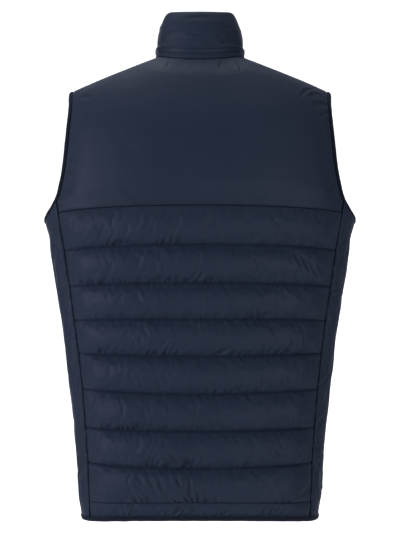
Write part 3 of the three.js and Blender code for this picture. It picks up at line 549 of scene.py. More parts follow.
def quiltWall(p, s, row, face, look, creases, seed):
    casing, last = look["casing"], lineCount - 1
    k = np.clip(np.floor(row + 1e-9).astype(int), 0, last)
    part = row - k
    ends = np.array(quiltLines["end"])
    across = sideSeamX(ends)[k]
    crest = np.array(quiltLines["crest"], float)[k]
    toZip = np.full_like(s, walls["fade"]) if face > 0 else np.abs(s) * across
    fill = ease((1 - np.abs(s)) * across / look["sideFade"]) ** 0.8 * fillAt(toZip)
    loose = 1 + look["unevenDeep"] * np.sin(look["unevenWaves"] * s + look["unevenShift"] * k)
    wall = lerp(walls["flat"], crest * loose, puffAt(part) * fill)
    along = arcAcross(p, 1)
    down = arcAcross(p, 0)
    starts = np.searchsorted(row[:, 0], np.arange(lineCount + 1) - 1e-9)
    lineDown = down[starts]
    above = down - np.take_along_axis(lineDown, k, 0)
    below = np.take_along_axis(lineDown, k + 1, 0) - down
    channel = np.where(k == last, casing["puckers"], 1)
    pucker = look["puckers"]
    soft = np.minimum(1, fill * 1.1)
    for line in range(lineCount + 1):
        slant = 0.5 * math.sin(line * 2.3 + seed)
        over = pucker["above"] * puckersBeside(
            along, below, seed + line, pucker["spacing"], pucker["reachAbove"], slant)
        wall += np.where(k == line - 1, over, 0) * soft * channel
        under = pucker["below"] * puckersBeside(
            along, above, seed + 20 + line, pucker["spacing"], pucker["reachBelow"], -slant)
        wall += np.where(k == line, under, 0) * soft * channel
    lumps = lumpsOf(along, down, look["lumpSizes"], look["smallLumps"], seed + 80)
    wall += look["lumps"] * lumps * puffAt(part) * fill * np.where(k == last, casing["lumps"], 1)
    # Short slanting gathers above the hem, crowded in some places
    fromHem = below + np.where(k == last, 0, casing["leanHigh"])
    hemNear = np.exp(-(fromHem / look["gathersTall"]) ** 2) * (k >= last - 1)
    n = clothNoise((along + 0.8 * below) / look["gathersWide"], below / 16, seed + 90)
    valleys = 2.2 * (1 - np.minimum(1, np.abs(n) * 2.4)) ** 2
    clusters = clothNoise(along / look["gatherClusters"], down * 0, seed + 91)
    crowded = np.clip(0.55 + 1.5 * clusters, 0.05, 1.5)
    wall += look["gathers"] * hemNear * fill * (0.5 - valleys) * crowded
    wall += layCreases(p[..., 0], p[..., 2], creases) * soft
    # The thread pulls the cloth down into a narrow valley along each line.
    sewnAbove = (k > 0) | (face < 0)
    toAbove = np.where(sewnAbove & (k < last), above, farOff)
    toLine = np.minimum(toAbove, np.where(k < last - 1, below, farOff))
    wall = wall - look["sewnDeep"] * np.exp(-(toLine / look["sewnWide"]) ** 2)
    # The casing's line lies on cloth that is already full, so it only marks it.
    toCasing = np.where(k == last, above, np.where(k == last - 1, below, farOff))
    rise = casing["rise"] * np.exp(-(toCasing / casing["riseWide"]) ** 2) * soft
    wall += rise - casing["mark"] * np.exp(-(toCasing / casing["markWide"]) ** 2)
    wall -= np.where(k == last, casing["leanIn"] * ease(1 - below / casing["leanHigh"]), 0)
    return np.maximum(wall, look["thinnest"])


def rollEdge(wall, distance, roll):
    share = np.clip(distance / (1.6 * roll), 0, 1)
    return wall - np.minimum(roll, wall - 0.5) * (1 - np.sqrt(1 - (1 - share) ** 2))


# Padding by cloth simulation: the outer cloth is cut a little too large for its place, held
# along its stitched lines and edges, and pressed outwards by the wadding until it buckles.
puffing = {
    "columnStep": 3.6, "rowStep": 4.2, "frames": 20, "quality": 6, "pressure": 4.0, "start": 0.85,
    "looser": 0.012, "looserStill": 0.155, "patch": 38, "stiff": 10, "bending": 0.03, "cap": 5.0,
    "mass": 0.1, "lumps": 0.5, "jitter": 0.5, "jitterWide": 9,
    # how much of the slack lies far from a line, and how fast it gathers above and below one
    "farShare": 0.15, "gatherAbove": 2.2, "gatherBelow": 5,
}


def pressedOut(start, held, looseness, look):
    rows, columns = held.shape
    ids = np.arange(rows * columns).reshape(rows, columns)
    quads = gridQuads(ids)
    across, down = start[0, 1] - start[0, 0], start[1, 0] - start[0, 0]
    if np.dot(np.cross(across, down), outward(start[:1, :1])[0, 0]) < 0:
        quads = quads[:, ::-1]
    piece = cleanMesh("loose_cloth", start.reshape(-1, 3), quads.tolist())
    pinned = piece.vertex_groups.new(name="pinned")
    pinned.add([int(i) for i in ids[held]], 1.0, "REPLACE")
    loose = piece.vertex_groups.new(name="loose")
    for i, share in enumerate(looseness.ravel()):
        loose.add([i], float(share), "REPLACE")
    cloth = piece.modifiers.new("cloth", "CLOTH")
    settings = cloth.settings
    settings.quality = look["quality"]
    settings.mass = look["mass"]
    settings.tension_stiffness = look["stiff"]
    settings.compression_stiffness = look["stiff"]
    settings.shear_stiffness = look["stiff"] / 2
    settings.bending_stiffness = look["bending"]
    settings.vertex_group_mass = "pinned"
    settings.vertex_group_shrink = "loose"
    settings.shrink_min = -look["looser"]
    settings.shrink_max = -look["looserStill"]
    settings.use_pressure = True
    settings.uniform_pressure_force = look["pressure"]
    settings.effector_weights.gravity = 0
    cloth.collision_settings.use_collision = False
    cloth.point_cache.frame_end = look["frames"]
    scene = bpy.context.scene
    for step in range(1, look["frames"] + 1):
        scene.frame_set(step)
    settled = piece.evaluated_get(bpy.context.evaluated_depsgraph_get()).data
    places = np.empty(rows * columns * 3, np.float32)
    settled.vertices.foreach_get("co", places)
    bpy.data.objects.remove(piece)
    scene.frame_set(1)
    moved = places.reshape(rows, columns, 3).astype(float) * 1000 - start
    far = np.linalg.norm(moved, axis=-1, keepdims=True)
    return moved * np.minimum(1, look["cap"] / np.maximum(far, 1e-6))


# How far the simulation moves each place of a quilted panel
def puffMoves(columns, rows, face, look, seed):
    half = placesAcross(halfReach, puffing["columnStep"], ())
    coarse = mirroredColumns(half) if columns[0] < 0 else half
    coarseRows = quiltRowPlaces(puffing["rowStep"], ())
    p, n, s, row = quiltGrid(coarse, coarseRows, face)
    noPuckers = dict(look["puckers"], above=0, below=0)
    calm = dict(look, puckers=noPuckers, gathers=0, lumps=puffing["lumps"])
    wall = quiltWall(p, s, row, face, calm, [], seed) * puffing["start"]
    along, down, wide = arcAcross(p, 1), arcAcross(p, 0), puffing["jitterWide"]
    jitter = clothNoise(along / wide, down / wide, seed + 7) * puffing["jitter"]
    onLine = np.abs(row - np.round(row)) < 1e-6
    held = onLine | (np.abs(s) > 1 - 1e-6) | (s < 1e-6) & (columns[0] >= 0)
    start = p + n * (wall + np.where(held, 0, jitter))[..., None]
    part = row - np.floor(row + 1e-9)
    slack = np.maximum(part ** puffing["gatherAbove"], (1 - part) ** puffing["gatherBelow"])
    nearLine = puffing["farShare"] + (1 - puffing["farShare"]) * slack
    uneven = clothNoise(along / puffing["patch"], down / puffing["patch"], seed + 8)
    looseness = np.clip(0.5 + 1.1 * uneven, 0, 1) * nearLine
    moved = pressedOut(start, held, looseness, puffing)
    print("vest: a quilted panel pressed out, most", round(float(np.abs(moved).max()), 1), "mm")
    moved = resample(moved, coarseRows, rows)
    return np.swapaxes(resample(np.swapaxes(moved, 0, 1), coarse, columns), 0, 1)


def addPadded(name, node, outer, inner, few):
    piece = closedWall(name, outer, inner, everyFew(outer.shape[0], few), everyFew(outer.shape[1], few))
    piece.data.materials.append(shellNylon)
    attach(piece, "garment")
    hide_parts(node)


# Finishes. The cloth is a close plain weave, so its threads are only a fine bump.
def addNode(tree, kind, **settings):
    node = tree.nodes.new(kind)
    for name, value in settings.items():
        if hasattr(node, name):
            setattr(node, name, value)
        else:
            node.inputs[name.replace("_", " ")].default_value = value
    return node


clothLooks = {
    "shellNylon": {
        "dark": (0.0142, 0.0237, 0.048), "light": (0.0184, 0.0289, 0.058), "shine": 0.26, "rough": 0.57,
        "wear": 0.045, "sheen": 0.1, "thread": 0.00042, "threadDepth": 0.00004, "crumple": 0.0003,
    },
    "bindingKnit": {
        "dark": (0.0072, 0.01, 0.02), "light": (0.012, 0.016, 0.031), "shine": 0.18, "rough": 0.78,
        "wear": 0.06, "sheen": 0.2, "thread": 0.0008, "threadDepth": 0.00012, "crumple": 0.0001,
    },
    "zipTape": {
        "dark": (0.008, 0.011, 0.022), "light": (0.013, 0.017, 0.032), "shine": 0.2, "rough": 0.85,
        "wear": 0.05, "sheen": 0.2, "thread": 0.0006, "threadDepth": 0.0001, "crumple": 0.00005,
    },
}
# Noise scale, detail and roughness of what all the cloths share, and how strong their bumps are
clothGrain = {
    "dye": (14.0, 4.0, 0.55), "rubbed": (38.0, 5.0, 0.6), "crumple": (210.0, 3.0, 0.5),
    "rubbedFrom": 0.3, "rubbedTo": 0.7, "crumpleBump": 0.7, "threadBump": 0.5,
    "sheenRough": 0.45, "sheenTint": (0.62, 0.7, 1.0, 1.0),
}


def addNoise(tree, place, kind):
    scale, detail, rough = clothGrain[kind]
    noise = addNode(tree, "ShaderNodeTexNoise", Scale=scale, Detail=detail, Roughness=rough)
    tree.links.new(place.outputs["Object"], noise.inputs["Vector"])
    return noise.outputs["Fac"]


def clothMaterial(name):
    look = clothLooks[name]
    material = bpy.data.materials.new(name)
    material.use_nodes = True
    tree = material.node_tree
    shader = tree.nodes["Principled BSDF"]
    shader.inputs["Sheen Weight"].default_value = look["sheen"]
    shader.inputs["Sheen Roughness"].default_value = clothGrain["sheenRough"]
    shader.inputs["Sheen Tint"].default_value = clothGrain["sheenTint"]
    shader.inputs["Specular IOR Level"].default_value = look["shine"]
    place = addNode(tree, "ShaderNodeTexCoord")
    dye = addNode(tree, "ShaderNodeMix", data_type="RGBA")
    dye.inputs[6].default_value = (*look["dark"], 1)
    dye.inputs[7].default_value = (*look["light"], 1)
    tree.links.new(addNoise(tree, place, "dye"), dye.inputs["Factor"])
    tree.links.new(dye.outputs[2], shader.inputs["Base Color"])
    # The finish is rubbed a little smoother in some places than in others.
    wear = addNode(tree, "ShaderNodeMapRange")
    wear.inputs["From Min"].default_value = clothGrain["rubbedFrom"]
    wear.inputs["From Max"].default_value = clothGrain["rubbedTo"]
    wear.inputs["To Min"].default_value = look["rough"] - look["wear"]
    wear.inputs["To Max"].default_value = look["rough"] + look["wear"]
    tree.links.new(addNoise(tree, place, "rubbed"), wear.inputs["Value"])
    tree.links.new(wear.outputs["Result"], shader.inputs["Roughness"])
    # A wave texture of scale 1 turns through 20 radians in a metre.
    wave = 2 * math.pi / 20 / look["thread"]
    heights = []
    for direction in ("X", "Z"):
        threadsAcross = addNode(tree, "ShaderNodeTexWave", bands_direction=direction, Scale=wave)
        tree.links.new(place.outputs["Object"], threadsAcross.inputs["Vector"])
        heights.append(threadsAcross.outputs["Fac"])
    weave = addNode(tree, "ShaderNodeMath", operation="MULTIPLY")
    tree.links.new(heights[0], weave.inputs[0])
    tree.links.new(heights[1], weave.inputs[1])
    first = addNode(tree, "ShaderNodeBump", Strength=clothGrain["crumpleBump"], Distance=look["crumple"])
    tree.links.new(addNoise(tree, place, "crumple"), first.inputs["Height"])
    second = addNode(tree, "ShaderNodeBump", Strength=clothGrain["threadBump"], Distance=look["threadDepth"])
    tree.links.new(weave.outputs[0], second.inputs["Height"])
    tree.links.new(first.outputs["Normal"], second.inputs["Normal"])
    tree.links.new(second.outputs["Normal"], shader.inputs["Normal"])
    return material


hardLooks = {
    # Near-black thread, also the colour of the strips that paint the shade in the seams
    "threadNavyAndSeamShade": {
        "colour": (0.005, 0.0065, 0.013), "rough": 0.8, "metallic": 0.0, "shine": 0.08,
        "grain": 900.0, "depth": 0.00003,
    },
    "mouldedTeeth": {
        "colour": (0.012, 0.016, 0.03), "rough": 0.32, "metallic": 0.0, "shine": 0.4,
        "grain": 600.0, "depth": 0.00002,
    },
    "paintedZinc": {
        "colour": (0.02, 0.024, 0.036), "rough": 0.3, "metallic": 0.75, "shine": 0.5,
        "grain": 380.0, "depth": 0.00003,
    },
}
hardWear = {"smoother": 0.06, "rougher": 0.08, "bump": 0.5}


def hardMaterial(name):
    look = hardLooks[name]
    material = bpy.data.materials.new(name)
    material.use_nodes = True
    tree = material.node_tree
    shader = tree.nodes["Principled BSDF"]
    shader.inputs["Metallic"].default_value = look["metallic"]
    shader.inputs["Specular IOR Level"].default_value = look["shine"]
    place = addNode(tree, "ShaderNodeTexCoord")
    grain = addNode(tree, "ShaderNodeTexNoise", Scale=look["grain"], Detail=2.0)
    tree.links.new(place.outputs["Object"], grain.inputs["Vector"])
    wear = addNode(tree, "ShaderNodeMapRange")
    wear.inputs["To Min"].default_value = look["rough"] - hardWear["smoother"]
    wear.inputs["To Max"].default_value = look["rough"] + hardWear["rougher"]
    tree.links.new(grain.outputs["Fac"], wear.inputs["Value"])
    tree.links.new(wear.outputs["Result"], shader.inputs["Roughness"])
    shader.inputs["Base Color"].default_value = (*look["colour"], 1)
    bump = addNode(tree, "ShaderNodeBump", Strength=hardWear["bump"], Distance=look["depth"])
    tree.links.new(grain.outputs["Fac"], bump.inputs["Height"])
    tree.links.new(bump.outputs["Normal"], shader.inputs["Normal"])
    return material


shellNylon = clothMaterial("shellNylon")
bindingKnit = clothMaterial("bindingKnit")
zipTapeCloth = clothMaterial("zipTape")
threadNavyAndSeamShade = hardMaterial("threadNavyAndSeamShade")
mouldedTeeth = hardMaterial("mouldedTeeth")
paintedZinc = hardMaterial("paintedZinc")
print("vest: finishes made")


# Seams between panels: the two edges meet over a strip in thread colour, wider than any thread, that paints
# the shade in the seam's cleft.
seams = {"yoke": {"half": 1.25, "high": 1.95}, "side": {"half": 1.7, "high": 2.5}, "step": 2.0}


def addSeamShade(name, kind, line, hand=1):
    run = runAlong(line)
    line = readAlong(line, run, np.linspace(0, run[-1], int(run[-1] / seams["step"])))
    out = outward(line)
    across = unit(np.cross(np.gradient(line, axis=0), out))
    half, high = seams[kind]["half"], seams[kind]["high"]
    corners = np.array([(-half, 0.2), (-half, high - 0.3), (0, high), (half, high - 0.3), (half, 0.2)])
    section = np.broadcast_to(corners, (len(line), 5, 2))
    flip = np.array([hand, 1, 1])
    seam = stripOf(name, line * flip, across * flip, out * flip, section, False)
    # The strip's near-black thread colour is painted shade for the seam's cleft.
    seam.data.materials.append(threadNavyAndSeamShade)
    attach(seam, "garment")


# Back, quilted part
def topLine(p, n, wall, rows, line):
    i = int(np.argmin(np.abs(rows - line)))
    return p[i] + n[i] * wall[i][:, None], n[i]


backRows = quiltRowPlaces(backChannels["rowStep"])
halfColumns = placesAcross(halfReach, backChannels["columnStep"])
wholeColumns = mirroredColumns(halfColumns)
p, n, s, row = quiltGrid(wholeColumns, backRows, 1)
wall = quiltWall(p, s, row, 1, backChannels, backCreases, 11)
moves = puffMoves(wholeColumns, backRows, 1, backChannels, 11)
wall = rollEdge(wall, (1 - np.abs(s)) * halfReach, edgeRoll)
wall = rollEdge(wall, arcAcross(p, 0), edgeRoll)
for line in range(1, lineCount):
    stitchAlong("quilting", *topLine(p, n, wall, backRows, line))
outer = p + n * wall[..., None] + moves
addPadded("back_channels", "back_quilted", outer, p, 4)
print("vest: quilted back made")

# Chest and yoke, the plain parts above the quilting
plainPanels = {
    "lumps": 0.55, "lumpSizes": ((62, 44), (21, 19)), "smallLumps": 0.4, "rowStep": 2.1,
    # depth, spacing, reach and slant of the puckers beside the armhole, the top and the foot
    "besideArmhole": (2.2, 10, 17, 0.6), "besideTop": (1.0, 9, 13, 0.3), "besideFoot": (0.45, 8.5, 9, -0.3),
}
yokeCreases = [
    (-198, -55, -164, -69, 2.4, 3.0, 4), (-199, -66, -173, -86, 2.0, 2.8, 3),
    (-186, -40, -158, -54, 1.8, 2.8, 2), (-197, -78, -180, -97, 1.4, 2.8, 2),
    (-172, -36, -150, -46, 1.1, 2.6, 1), (-159, -42, -147, -56, 1.2, 2.4, 1),
    (-198, -92, -182, -116, 1.2, 3, 2), (-32, 9, -29, -14, 1.3, 2.2, 1),
    (-54, 8, -60, -18, 1.3, 2.4, -2), (44, 9, 49, -10, 1.1, 2.2, 1),
    (12, 8, 9, -10, 0.8, 2.2, 1), (-12, 8, -9, -8, 0.8, 2.2, 1),
    (197, -136, 176, -152, 1.5, 3, 3), (198, -158, 178, -170, 1.5, 2.8, 2),
    (200, -182, 180, -204, 1.3, 3, 3), (-201, -176, -180, -198, 1.5, 3, -3),
    (-200, -150, -182, -166, 1.0, 3, -2), (188, -48, 160, -58, 1.2, 3.6, -2),
    (-60, -196, -96, -212, 0.8, 5, 4), (120, -190, 80, -214, 0.7, 5, 3),
    (-120, -120, -60, -150, 0.5, 9, 5), (130, -100, 84, -150, 0.45, 9, 6),
]
chestCreases = [
    (60, -40, 86, -76, 1.1, 5, 3), (190, -70, 158, -92, 1.3, 5, 3), (196, -150, 160, -176, 1.2, 5, -3),
    (70, 2, 92, -22, 1.0, 4, 2), (30, -120, 70, -168, 0.7, 8, 4), (120, -190, 160, -214, 1.0, 5, 3),
    (18, -70, 34, -108, 0.8, 5, 2),
]


def chestGrid(columns, rows, face):
    start, neckStart = (0, 90) if face > 0 else (zipHalf, zipTurn)
    seamRun, endRun = (backCrossing, 0) if face > 0 else (frontCrossing, armholeLength)

    def below(u):
        z = quiltZ(u, 0 * u, face)
        return {"x": lerp(start, sideSeamX(z), u), "z": z}

    def above(u):
        onNeck = neckPoint(neckStart * (1 - np.minimum(u / neckShare, 1)))
        onShoulder = np.clip((u - neckShare) / (1 - neckShare), 0, 1)
        x = lerp(shoulderForm["neckX"], shoulderForm["tipX"], onShoulder)
        atNeck = u <= neckShare
        z = np.where(atNeck, onNeck[..., 2], shoulderZ(x))
        return {"x": np.where(atNeck, onNeck[..., 0], x), "z": z}

    ends = np.array([0.0, 1.0])
    low, high = below(ends), above(ends)
    lowZ = lerp(low["z"][1], armholePoint(np.float64(seamRun))[..., 2], np.minimum(rows / seamShare, 1))
    onArm = armholePoint(lerp(seamRun, endRun, np.clip((rows - seamShare) / (1 - seamShare), 0, 1)))
    inSeam = rows <= seamShare
    outside = {"x": np.where(inSeam, sideSeamX(lowZ), onArm[:, 0]), "z": np.where(inSeam, lowZ, onArm[:, 2])}
    u, t = np.meshgrid(np.abs(columns), rows)
    lowLine, highLine = below(np.abs(columns)), above(np.abs(columns))

    def blend(key):
        centre = lerp(low[key][0], high[key][0], t)
        ruled = lerp(lowLine[key][None], highLine[key][None], t) + lerp(centre, outside[key][:, None], u)
        return ruled - lerp(centre, lerp(low[key][1], high[key][1], t), u)

    tent = np.where(u < neckShare, u / neckShare, (1 - u) / (1 - neckShare))
    opened = np.sin((np.pi / 2) * np.minimum(1, (1 - t) / neckFan["rows"])) ** neckFan["power"]
    fan = neckFan["reach"] * tent * opened * t
    sign = np.where(columns < 0, -1, 1)[None]
    x, z = blend("x") + fan, blend("z") - shoulderForm["slope"] * fan
    p = facePoint(x, z, face)
    onTop = (t >= 1) & (u > neckShare)
    p[..., 1] = np.where(onTop, 0, p[..., 1])
    neckTurn = neckStart * (1 - np.minimum(np.abs(columns) / neckShare, 1))
    atNeck = (t >= 1) & (u <= neckShare)
    p = np.where(atNeck[..., None], neckPoint(neckTurn)[None], p)
    n = outward(p)
    # Beside the neck seam the wall leans into the mitre with the collar.
    lean = mitre(outward(neckPoint(neckTurn)), collarFrame(neckTurn)[2])[None]
    fromTop = arcAcross(p, 0)[-1:] - arcAcross(p, 0)
    share = (1 - ease(fromTop / 9)) * (u <= neckShare)
    n = lerp(n, lean, share[..., None])
    flip = np.stack([sign, np.ones_like(sign), np.ones_like(sign)], -1)
    return p * flip, n * flip, u * sign, t


def evenChestRows(face, step):
    fine = np.linspace(0, 1, 700)
    run = arcAcross(chestGrid(np.array([0.3, 0.62]), fine, face)[0], 0)[:, 1]
    return np.interp(placesAcross(run[-1], step) * run[-1], run, fine)


def chestWall(p, s, t, face, look, creases, seed):
    across = float(sideSeamX(quiltLines["end"][0]))
    toZip = np.full_like(s, walls["fade"]) if face > 0 else np.abs(s) * across
    toSide = (1 - np.abs(s)) * across
    toEnds = np.minimum(t, 1 - t) * chestHeight
    fill = ease(toSide / walls["swell"]) * fillAt(toZip) * ease(toEnds / walls["swell"])
    wall = lerp(walls["flat"], walls["yoke"], fill)
    along, up = arcAcross(p, 1), arcAcross(p, 0)
    lumps = lumpsOf(along, up, look["lumpSizes"], look["smallLumps"], seed)
    wall += look["lumps"] * lumps * np.minimum(1, fill + 0.25)
    # Faint pulls from the armhole and small puckers beside the seams
    beside = [("besideArmhole", up, toSide), ("besideTop", along, up[-1:] - up), ("besideFoot", along, up)]
    for extra, (name, lengthwise, away) in enumerate(beside):
        deep, *form = look[name]
        wall += deep * puckersBeside(lengthwise, away, seed + 2 + extra, *form)
    wall += layCreases(p[..., 0], p[..., 2], creases)
    # Each front runs on into its channels, and a sewn line parts them.
    if face < 0:
        wall -= backChannels["sewnDeep"] * np.exp(-(up / backChannels["sewnWide"]) ** 2)
    return wall


yokeRows = evenChestRows(1, plainPanels["rowStep"])
p, n, s, t = chestGrid(mirroredColumns(halfColumns), yokeRows, 1)
wall = chestWall(p, s, t, 1, plainPanels, yokeCreases, 31)
up = arcAcross(p, 0)
for distance in ((1 - np.abs(s)) * halfReach, up, up[-1:] - up):
    wall = rollEdge(wall, distance, edgeRoll)
outer = p + n * wall[..., None]
addPadded("yoke_panel", "back_yoke", outer, p, 4)
# A dark strip along the yoke's foot paints the shade of its seam.
addSeamShade("seam_yoke", "yoke", p[0])
print("vest: yoke made")

# Fronts, chest and channels in one
fronts = {"across": 196, "columnStep": 2.3, "rowStep": 2.4, "besideZip": 4.5}
frontColumns = placesAcross(fronts["across"], fronts["columnStep"])
frontRows = quiltRowPlaces(fronts["rowStep"])
frontChestRows = evenChestRows(-1, fronts["rowStep"])
for hand, side, seed in ((1, "left", 51), (-1, "right", 67)):
    pq, nq, sq, rowq = quiltGrid(frontColumns, frontRows, -1)
    wallq = quiltWall(pq, sq, rowq, -1, backChannels, frontCreases if hand > 0 else frontCreases[::2], seed)
    pc, nc, sc, tc = chestGrid(frontColumns, frontChestRows, -1)
    wallc = chestWall(pc, sc, tc, -1, plainPanels, chestCreases if hand > 0 else chestCreases[1::2], seed + 9)
    p = np.concatenate([pc[::-1], pq[1:]])
    n = np.concatenate([nc[::-1], nq[1:]])
    s = np.concatenate([sc[::-1], sq[1:]])
    wall = np.concatenate([wallc[::-1], wallq[1:]])
    down = arcAcross(p, 0)
    for distance in ((1 - s) * halfReach, s * halfReach, down):
        wall = rollEdge(wall, distance, edgeRoll)
    flip = np.array([hand, 1, 1])
    moves = puffMoves(frontColumns, frontRows, -1, backChannels, seed)
    outer = p + n * wall[..., None]
    outer[len(pc):] += moves[1:] if np.ndim(moves) else 0
    outer = outer * flip
    rows = np.concatenate([-frontChestRows[::-1], frontRows[1:]])
    for line in range(lineCount):
        line3, up3 = topLine(p, n, wall, rows, line)
        stitchAlong("quilting", line3 * flip, up3 * flip)
    c = int(np.argmin(np.abs(frontColumns * halfReach - fronts["besideZip"])))
    stitchAlong("zip", outer[:, c], (n * flip)[:, c])
    addPadded("front_panel_" + side, "front_" + side, outer, p * flip, 4)
print("vest: fronts made")

# Side panels, lightly padded and unquilted
sidePanels = {
    "step": 2.0, "rows": 240, "lumps": 0.7, "waves": 1.7, "wavesWide": 11, "wavesTall": 62,
    "puckers": (2.2, 10, 17, 0.7),
}
# y, z to y, z, then how deep, how wide and how bowed
sideCreases = {
    "left": [
        (50, -330, 24, -360, 1.8, 3.2, 2), (54, -400, 40, -520, 1.8, 3, 4),
        (30, -250, 52, -300, 1.8, 3, 2), (20, -560, 44, -640, 1.6, 3.4, 3),
        (44, -270, 60, -390, 1.5, 2.8, -4), (62, -450, 50, -600, 1.5, 2.8, 4),
        (-30, -300, -10, -420, 1.4, 4, 5), (-40, -500, -20, -600, 1.4, 4, 4),
    ],
    "right": [
        (40, -262, 60, -280, 2.0, 3, 2), (34, -272, 58, -340, 2.2, 3, 4),
        (30, -340, 62, -372, 2.2, 3, 3), (48, -350, 56, -450, 1.9, 2.8, -4),
        (20, -455, 60, -500, 2.0, 3, 3), (56, -470, 46, -590, 1.8, 2.8, 4),
        (30, -520, 62, -560, 1.9, 3, 3), (24, -570, 60, -620, 1.9, 3, 3),
        (10, -630, 50, -655, 1.5, 3, 2), (-20, -280, 0, -380, 1.4, 4, 5),
        (-40, -430, -16, -540, 1.4, 4, 4),
    ],
}


def sideGrid(columns, rows):
    topZ = {1: armholePlace(np.float64(backCrossing))[1], -1: armholePlace(np.float64(frontCrossing))[1]}

    def edge(face, r):
        inQuilt = quiltZ(np.ones_like(r), np.maximum(r, 0), face)
        z = np.where(r < 0, lerp(inQuilt, topZ[face], -r), inQuilt)
        return {"turn": face * turnAt(sideSeamX(z), z), "z": z}

    foot = np.array([float(lineCount)])
    footEnds = [edge(face, foot)["turn"][0] for face in (-1, 1)]

    def below(u):
        turn = lerp(footEnds[0], footEnds[1], u)
        x = turnPoint(turn, hemHeights["side"] + 0 * turn)[..., 0]
        return {"turn": turn, "z": np.where(turn < 0, hemZ(x, -1), hemZ(x, 1))}

    def above(u):
        turn, z = armholePlace(lerp(frontCrossing, backCrossing, u))
        return {"turn": turn, "z": z}

    s, r = np.meshgrid(columns, rows)
    bottom, top = edge(1, foot)["z"][0], edge(1, np.array([-1.0]))["z"][0]
    front, back = edge(-1, rows), edge(1, rows)
    t = ((back["z"] - bottom) / (top - bottom))[:, None]
    low, high = below(columns), above(columns)
    lowEnds, highEnds = below(np.array([0.0, 1.0])), above(np.array([0.0, 1.0]))

    def blend(key):
        ruled = lerp(low[key][None], high[key][None], t) + lerp(front[key][:, None], back[key][:, None], s)
        return ruled - lerp(lerp(*lowEnds[key], s), lerp(*highEnds[key], s), t)

    p = turnPoint(blend("turn"), blend("z"))
    return p, outward(p), s, r


sideRows = np.linspace(-1, lineCount, sidePanels["rows"])
sideColumns = placesAcross(sideWidth, sidePanels["step"])
p, n, s, r = sideGrid(sideColumns, sideRows)
high = quiltLines["end"][0] - hemHeights["side"]
fromHem = quiltZ(np.ones_like(r), np.maximum(r, 0), 1) - hemHeights["side"]
fill = ease(np.minimum(fromHem, high - fromHem) / walls["swell"]) * fillAt(sideWidth * np.minimum(s, 1 - s))
for hand, side, seed in ((1, "left", 201), (-1, "right", 223)):
    wall = lerp(walls["flat"], walls["side"], fill)
    along, down = arcAcross(p, 1), arcAcross(p, 0)
    soft = np.minimum(1, fill + 0.3)
    wall += sidePanels["lumps"] * clothNoise(along / 26, down / 50, seed) * soft
    lengthwise = (along + 0.25 * down) / sidePanels["wavesWide"]
    waves = np.abs(clothNoise(lengthwise, down / sidePanels["wavesTall"], seed + 1))
    wall += sidePanels["waves"] * (np.minimum(2.4 * waves, 1) ** 0.8 - 0.6) * soft
    deep, *form = sidePanels["puckers"]
    for toSeam, extra in ((sideWidth * s, 2), (sideWidth * (1 - s), 3)):
        wall += deep * puckersBeside(down, toSeam, seed + extra, *form)
    wall += layCreases(p[..., 1], p[..., 2], sideCreases[side]) * soft
    for distance in (sideWidth * s, sideWidth * (1 - s)):
        wall = rollEdge(wall, distance, edgeRoll)
    flip = np.array([hand, 1, 1])
    addPadded("side_cloth_" + side, "side_panel_" + side, (p + n * wall[..., None]) * flip, p * flip, 4)
# Dark strips down both side seams paint their shade.
for hand, side in ((1, "left"), (-1, "right")):
    for column, name in ((0, "seam_front_"), (-1, "seam_back_")):
        addSeamShade(name + side, "side", p[:, column], hand)
print("vest: side panels made")

# Stand collar
collarCloth = {
    "columnStep": 1.8, "rowStep": 1.4, "tall": 76, "foot": 11, "wander": 1.6, "top": 4.5, "stitched": 5,
    "crests": (4.2, 7, 9.5), "sewnLines": (8.6, 12.6), "topRoll": 2.6,
    "besideFold": (1.7, 10, 11, 0.9), "besideFoot": (0.45, 8, 6, 0.5), "lumps": 0.5,
    "degree": 1.2,  # millimetres of the collar's foot in a degree of turn
}
# The soft fold above the collar's foot: its height at places along the foot from the centre back
collarFold = {
    "around": [-216, -108, -76, -32, 0, 23, 44, 80, 216],
    "high": [25, 20, 21.5, 30, 28.5, 20.5, 25.5, 18, 25],
}
# along the foot and up, to along the foot and up, then how deep, how wide and how bowed
collarCreases = [
    (22, 46, 58, 53, 1.5, 3.2, 4), (70, 42, 98, 33, 1.4, 3, 3), (104, 54, 146, 45, 1.4, 3.4, 3),
    (-20, 48, 10, 40, 1.3, 3.2, 3), (130, 34, 160, 40, 1.3, 3.2, 3), (60, 62, 112, 66, 0.9, 4, 3),
    (40, 32, 66, 37, 1.0, 2.6, 2), (112, 36, 128, 31, 1.0, 2.6, 2), (78, 58, 92, 50, 0.9, 3, 2),
    (-60, 36, -30, 46, 1.2, 3.2, 3), (190, 40, 220, 50, 1.2, 3.2, 3), (0, 60, -40, 66, 0.9, 4, 3),
]


def collarWall(turn, high, tall, look):
    around = (turn - 90) * look["degree"]
    fold = readTable(collarFold, "around", around, "high")
    fold += look["wander"] * clothNoise(around / 34, around * 0 + 2.5, 71)
    lowCrest, middleCrest, topCrest = look["crests"]
    bands = [
        (0, look["foot"], lowCrest, walls["flat"], look["stitched"]),
        (look["foot"], fold, middleCrest, look["stitched"], look["stitched"]),
        (fold, tall, topCrest, look["stitched"] - 0.8, look["top"]),
    ]
    wall = np.full_like(high, look["top"])
    for low, top, crest, wallLow, wallTop in bands:
        part = np.clip((high - low) / (top - low), 0, 1)
        full = lerp(lerp(wallLow, wallTop, part), np.maximum(crest, wallLow), puffAt(part))
        wall = np.where(high >= low, full, wall)
    fromZip = np.minimum(turn - zipTurn, 180 - zipTurn - turn) * look["degree"]
    wall = lerp(walls["flat"], wall, fillAt(fromZip))
    for name, line, seed in (("besideFold", fold, 73), ("besideFoot", look["foot"], 75)):
        deep, *form = look[name]
        wall += deep * puckersBeside(around, np.abs(high - line), seed, *form) * fillAt(fromZip)
    wall += look["lumps"] * clothNoise(around / 30, high / 22, 76) * ease(high / 20)
    wall += layCreases(around, high, [(a - 90, b, c - 90, d, *rest) for a, b, c, d, *rest in collarCreases])
    return rollEdge(wall, tall - high, look["topRoll"])


